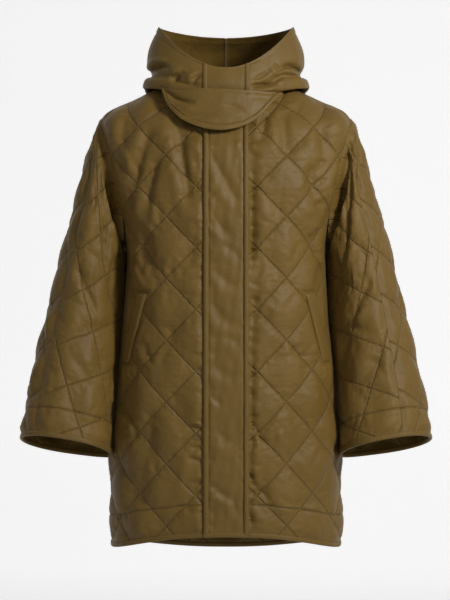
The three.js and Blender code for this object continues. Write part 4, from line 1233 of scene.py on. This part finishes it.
def placket_height(base, x):
    crease = 1.3 * crease_depth(base[..., 0], base[..., 2], PLACKET_CREASES)
    crease += crease_depth(base[..., 0], base[..., 2], PLACKET_GATHERS)
    crease += 0.5 * drape(base[..., 0] * 3, base[..., 2], 13, 0.8)
    inside = ease((PLACKET_HALF - np.abs(x)) / 12)
    sunk = 1.5 * np.exp(-(((np.abs(x) - (PLACKET_HALF - EDGE_WIDTH - 0.6)) / 1.8) ** 2))
    return PLACKET_OUTSIDE - crease * inside - sunk


def rolled_height(middle, half, start, rise):
    def height(base, x):
        wave = 0.25 * np.sin(base[..., 2] / 9.0) + 0.2 * np.sin(base[..., 2] / 23.0 + 1)
        return start + rise * (1 - np.abs((x - middle) / half) ** 3) + wave

    return height


def add_strip(node, surface, xs, levels, height, wall, material, slot):
    points, normal = strip_grid(surface, xs, levels, height)
    flat = lengths_of(points)
    obj = grid_piece(node, points, normal, flat, wall)
    settle(obj, material, slot, node)
    declare_sheet(obj, flat.reshape(-1, 2), np.ptp(xs) * np.max(flat[..., 1]))
    return points, normal


def add_placket():
    xs = np.linspace(-PLACKET_HALF, PLACKET_HALF, 53)
    add_strip("placket", body_point, xs, PLACKET_LEVELS, placket_height, 2.6, PLAIN, "plain_cloth")
    for name, hand in HANDS.items():
        inner = PLACKET_HALF - EDGE_WIDTH if hand > 0 else -PLACKET_HALF
        xs = np.linspace(inner, inner + EDGE_WIDTH, 11)
        rolled = rolled_height(inner + EDGE_WIDTH / 2, EDGE_WIDTH / 2, PLACKET_OUTSIDE - 0.6, EDGE_RISE)
        node = f"placket_edge_{name}"
        points, normal = add_strip(node, body_point, xs, PLACKET_LEVELS, rolled, 1.2, TAPE, "binding")
        for column in (2, -3):
            topstitch(f"stitches_{node}_{column % 11}", points[:, column], normal[:, column])


HOOD_LEVELS = np.linspace(0.05, RIM, 96)


def hood_folds(base, turn, hand):
    x, z = hand * base[..., 0], base[..., 2]
    front = ease(np.cos(turn) * 3 + 0.6)
    depth = 1.5 * crease_depth(x, z, HOOD_CREASES) * front
    depth += crease_depth(x, z, HOOD_BACK_CREASES) * (1 - front)
    return depth + 0.7 * drape(x + base[..., 1], z, 17, 0.8)


def rim_band(levels):
    """The hood's rim, folded under and sewn."""
    from_rim = (RIM - levels) * 40
    return 0.7 * (1 - ease((from_rim - 9) / 1.5)) - 0.6 * np.exp(-(((from_rim - 11) / 1.2) ** 2))


def add_collar():
    half = COLLAR_SPLIT - 0.3
    levels = np.linspace(0.05, RIM, 60)

    def height(base, x):
        sag = 1.1 * np.exp(-(((x + 6) / 14) ** 2)) * np.sin((base[..., 2] - 10) / 11)
        return sag * ease((half - np.abs(x)) / 10) + rim_band(level_of(base)) * 0.8

    def level_of(base):
        return np.linspace(0.05, RIM, len(base))[:, None] + 0 * base[..., 0]

    add_strip("collar_front", hood_point, np.linspace(-half, half, 31), levels, height, PLAIN_WALL, PLAIN,
              "plain_cloth")
    for name, hand in HANDS.items():
        middle = hand * COLLAR_SPLIT
        xs = np.linspace(middle - EDGE_WIDTH / 2, middle + EDGE_WIDTH / 2, 9)
        rolled = rolled_height(middle, EDGE_WIDTH / 2, 0.2, 2.0)
        node = f"collar_edge_{name}"
        add_strip(node, hood_point, xs, levels[1:], rolled, 1.2, TAPE, "binding")


def add_hood(name, hand):
    columns = 120
    starts = turn_at_x(hood_point, np.full(len(HOOD_LEVELS), float(COLLAR_SPLIT)), HOOD_LEVELS)
    end = np.pi - 0.0003
    turn = mix(starts[:, None], end, np.linspace(0, 1, columns)[None, :])
    level = HOOD_LEVELS[:, None] + 0 * turn
    base = hood_point(turn, level)
    normal = normal_of(hood_point, turn, level)
    seam = ease((np.pi - turn) / 0.12) * ease((turn - starts[:, None]) / 0.12)
    height = -hood_folds(base, turn, hand) * ease(level * 1.2) * ease((RIM + 0.3 - level) * 1.5) * seam
    height += rim_band(level)
    height -= 1.2 * np.exp(-(((np.pi - turn) / 0.02) ** 2))
    points = base + height[..., None] * normal
    flat = lengths_of(base)
    node = f"hood_{name}"
    obj = grid_piece(node, points, normal, flat, PLAIN_WALL, hand < 0)
    settle(obj, PLAIN, "plain_cloth", node)
    spans = np.ptp(flat[..., 0], axis=1)
    area = float(np.sum((spans[1:] + spans[:-1]) / 2 * np.diff(flat[..., 1].mean(1))))
    declare_sheet(obj, flat.reshape(-1, 2), area)
    band_row = int(np.argmin(np.abs((RIM - HOOD_LEVELS) * 40 - 9)))
    flip = [hand, 1, 1]
    topstitch(f"rim_stitches_{name}", points[band_row] * flip, normal[band_row] * flip)


def flap_point(share, at):
    share, at = np.broadcast_arrays(np.asarray(share, float), np.asarray(at, float))
    row = {name: through(column, at) for name, column in FLAP.items()}
    z = mix(row["top"], row["bottom"], share)
    return np.stack([row["x"], -mix(row["out_top"], row["out_bottom"], share), z], -1)


def add_flap():
    last = len(FLAP["x"]) - 1
    at, share = np.meshgrid(np.linspace(0, last, 140), np.linspace(0, 1, 44))
    base = flap_point(share, at)
    normal = normal_of(flap_point, share, at)
    if np.mean(normal[..., 1]) > 0:
        normal = -normal
    tall = np.linalg.norm(flap_point(1, at) - flap_point(0, at), axis=-1)
    above_edge = (1 - share) * tall
    below_top = share * tall
    bound = 1.5 * (1 - ease((above_edge - 8) / 1.2)) * ease((above_edge + 0.8) / 2)
    groove = 1.3 * np.exp(-(((above_edge - 9.6) / 1.2) ** 2))
    groove += 1.1 * np.exp(-(((below_top - 5.5) / 1.2) ** 2))
    crease = crease_depth(base[..., 0], base[..., 2], FLAP_CREASES) * ease(above_edge / 14)
    height = bound - groove - crease + 0.25 * drape(base[..., 0] * 2, base[..., 2], 29)
    points = base + height[..., None] * normal
    flat = lengths_of(base)
    obj = grid_piece("throat_flap", points, normal, flat, PLAIN_WALL)
    settle(obj, PLAIN, "plain_cloth", "throat_flap")
    widths = np.mean(np.linalg.norm(np.diff(base, axis=1), axis=-1), axis=0)
    area = float(np.sum(widths * (tall[0][1:] + tall[0][:-1]) / 2))
    declare_sheet(obj, flat.reshape(-1, 2), area)
    places = np.linspace(0.4, last - 0.3, 300)
    for name, offset in (("edge", 9.6), ("under_edge", 1.8)):
        heights = np.linalg.norm(flap_point(1, places) - flap_point(0, places), axis=-1)
        row_share = 1 - offset / np.maximum(heights, 14)
        way = np.broadcast_to([0.0, -1.0, 0.0], (300, 3))
        topstitch(f"flap_{name}_stitches", flap_point(row_share, places), way, on=obj)
    heights = np.linalg.norm(flap_point(1, places) - flap_point(0, places), axis=-1)
    way = np.broadcast_to([0.0, -1.0, 0.0], (300, 3))
    topstitch("flap_top_stitches", flap_point(5.5 / np.maximum(heights, 14), places), way, on=obj)


# Stage, light and camera
def add_stage():
    """A pale floor that curves up behind the jacket."""
    floor_z, back_y, bend = -1.9, 2.6, 1.1
    bpy.ops.mesh.primitive_plane_add(size=14, location=(0, back_y - 7 - bend, floor_z))
    floor = bpy.context.object
    floor.name = "backdrop"
    bpy.ops.object.mode_set(mode="EDIT")
    bpy.ops.mesh.select_all(action="DESELECT")
    bpy.ops.object.mode_set(mode="OBJECT")
    for edge in floor.data.edges:
        edge.select = all(floor.data.vertices[k].co.y > 0 for k in edge.vertices)
    bpy.ops.object.mode_set(mode="EDIT")
    bpy.ops.mesh.select_mode(type="EDGE")
    steps = 12
    for step in range(steps):
        angle = (step + 0.5) / steps * np.pi / 2
        reach = bend * np.pi / 2 / steps
        move = (0, reach * np.cos(angle), reach * np.sin(angle))
        bpy.ops.mesh.extrude_region_move(TRANSFORM_OT_translate={"value": move})
    bpy.ops.mesh.extrude_region_move(TRANSFORM_OT_translate={"value": (0, 0, 5)})
    bpy.ops.object.mode_set(mode="OBJECT")
    bpy.ops.object.shade_smooth()
    bpy.ops.object.transform_apply(location=True, rotation=True, scale=True)
    material = bpy.data.materials.new("Pale floor")
    material.use_nodes = True
    n = Nodes(material.node_tree)
    shader = material.node_tree.nodes["Principled BSDF"]
    place = n.add("ShaderNodeTexCoord").outputs["Object"]
    grain = n.add("ShaderNodeTexNoise", {"Vector": place, "Scale": 0.6, "Detail": 2.0})
    ramp = n.add("ShaderNodeValToRGB", {"Fac": grain.outputs["Fac"]})
    ramp.color_ramp.elements[0].color = (0.87, 0.87, 0.87, 1)
    ramp.color_ramp.elements[1].color = (0.9, 0.9, 0.9, 1)
    n.tree.links.new(ramp.outputs[0], shader.inputs["Base Color"])
    shader.inputs["Roughness"].default_value = 0.9
    level = n.add("ShaderNodeSeparateXYZ", {0: place}).outputs[2]
    wall = n.add("ShaderNodeMapRange", {"Value": level, 1: floor_z, 2: -1.28, 3: 0.0, 4: 0.46})
    n.tree.links.new(wall.outputs[0], shader.inputs["Emission Strength"])
    shader.inputs["Emission Color"].default_value = (1, 1, 1, 1)
    floor.data.materials.append(material)
    floor.select_set(False)


def add_light(name, place, target, size, power_watts, colour=(1, 1, 1)):
    light = bpy.data.lights.new(name, "AREA")
    light.shape = "DISK"
    light.size = size
    light.energy = power_watts
    light.color = colour
    obj = bpy.data.objects.new(name, light)
    obj.location = place
    obj.rotation_euler = (Vector(target) - Vector(place)).to_track_quat("-Z", "Y").to_euler()
    bpy.context.collection.objects.link(obj)


def add_camera():
    camera = bpy.data.cameras.new("camera")
    camera.sensor_fit = "VERTICAL"
    camera.sensor_height = 24
    frame_height, distance = 1.068, 4.0
    camera.lens = camera.sensor_height * distance / frame_height
    camera.clip_end = 50
    camera.shift_y = -0.2045
    obj = bpy.data.objects.new("camera", camera)
    obj.location = (-0.0018, -distance, -0.15)
    obj.rotation_euler = (np.pi / 2, 0, 0)
    bpy.context.collection.objects.link(obj)
    bpy.context.scene.camera = obj


def set_light():
    scene = bpy.context.scene
    scene.view_settings.view_transform = "Standard"
    world = bpy.data.worlds.new("Studio")
    world.use_nodes = True
    background = world.node_tree.nodes["Background"]
    background.inputs["Color"].default_value = (1, 1, 1, 1)
    background.inputs["Strength"].default_value = 0.24
    scene.world = world
    add_light("key", (1.45, -1.8, 0.75), (0, 0, -0.2), 0.5, 48)
    add_light("fill", (-1.2, -2.9, 1.0), (0, 0, -0.2), 1.4, 4)


add_camera()
add_fronts()
add_back()
for side_name, side_hand in HANDS.items():
    add_sleeve(side_name, side_hand)
    add_hood(side_name, side_hand)
add_placket()
add_collar()
add_flap()
add_hem()
add_stage()
set_light()
for row in sheets:
    print("sheet", *row)
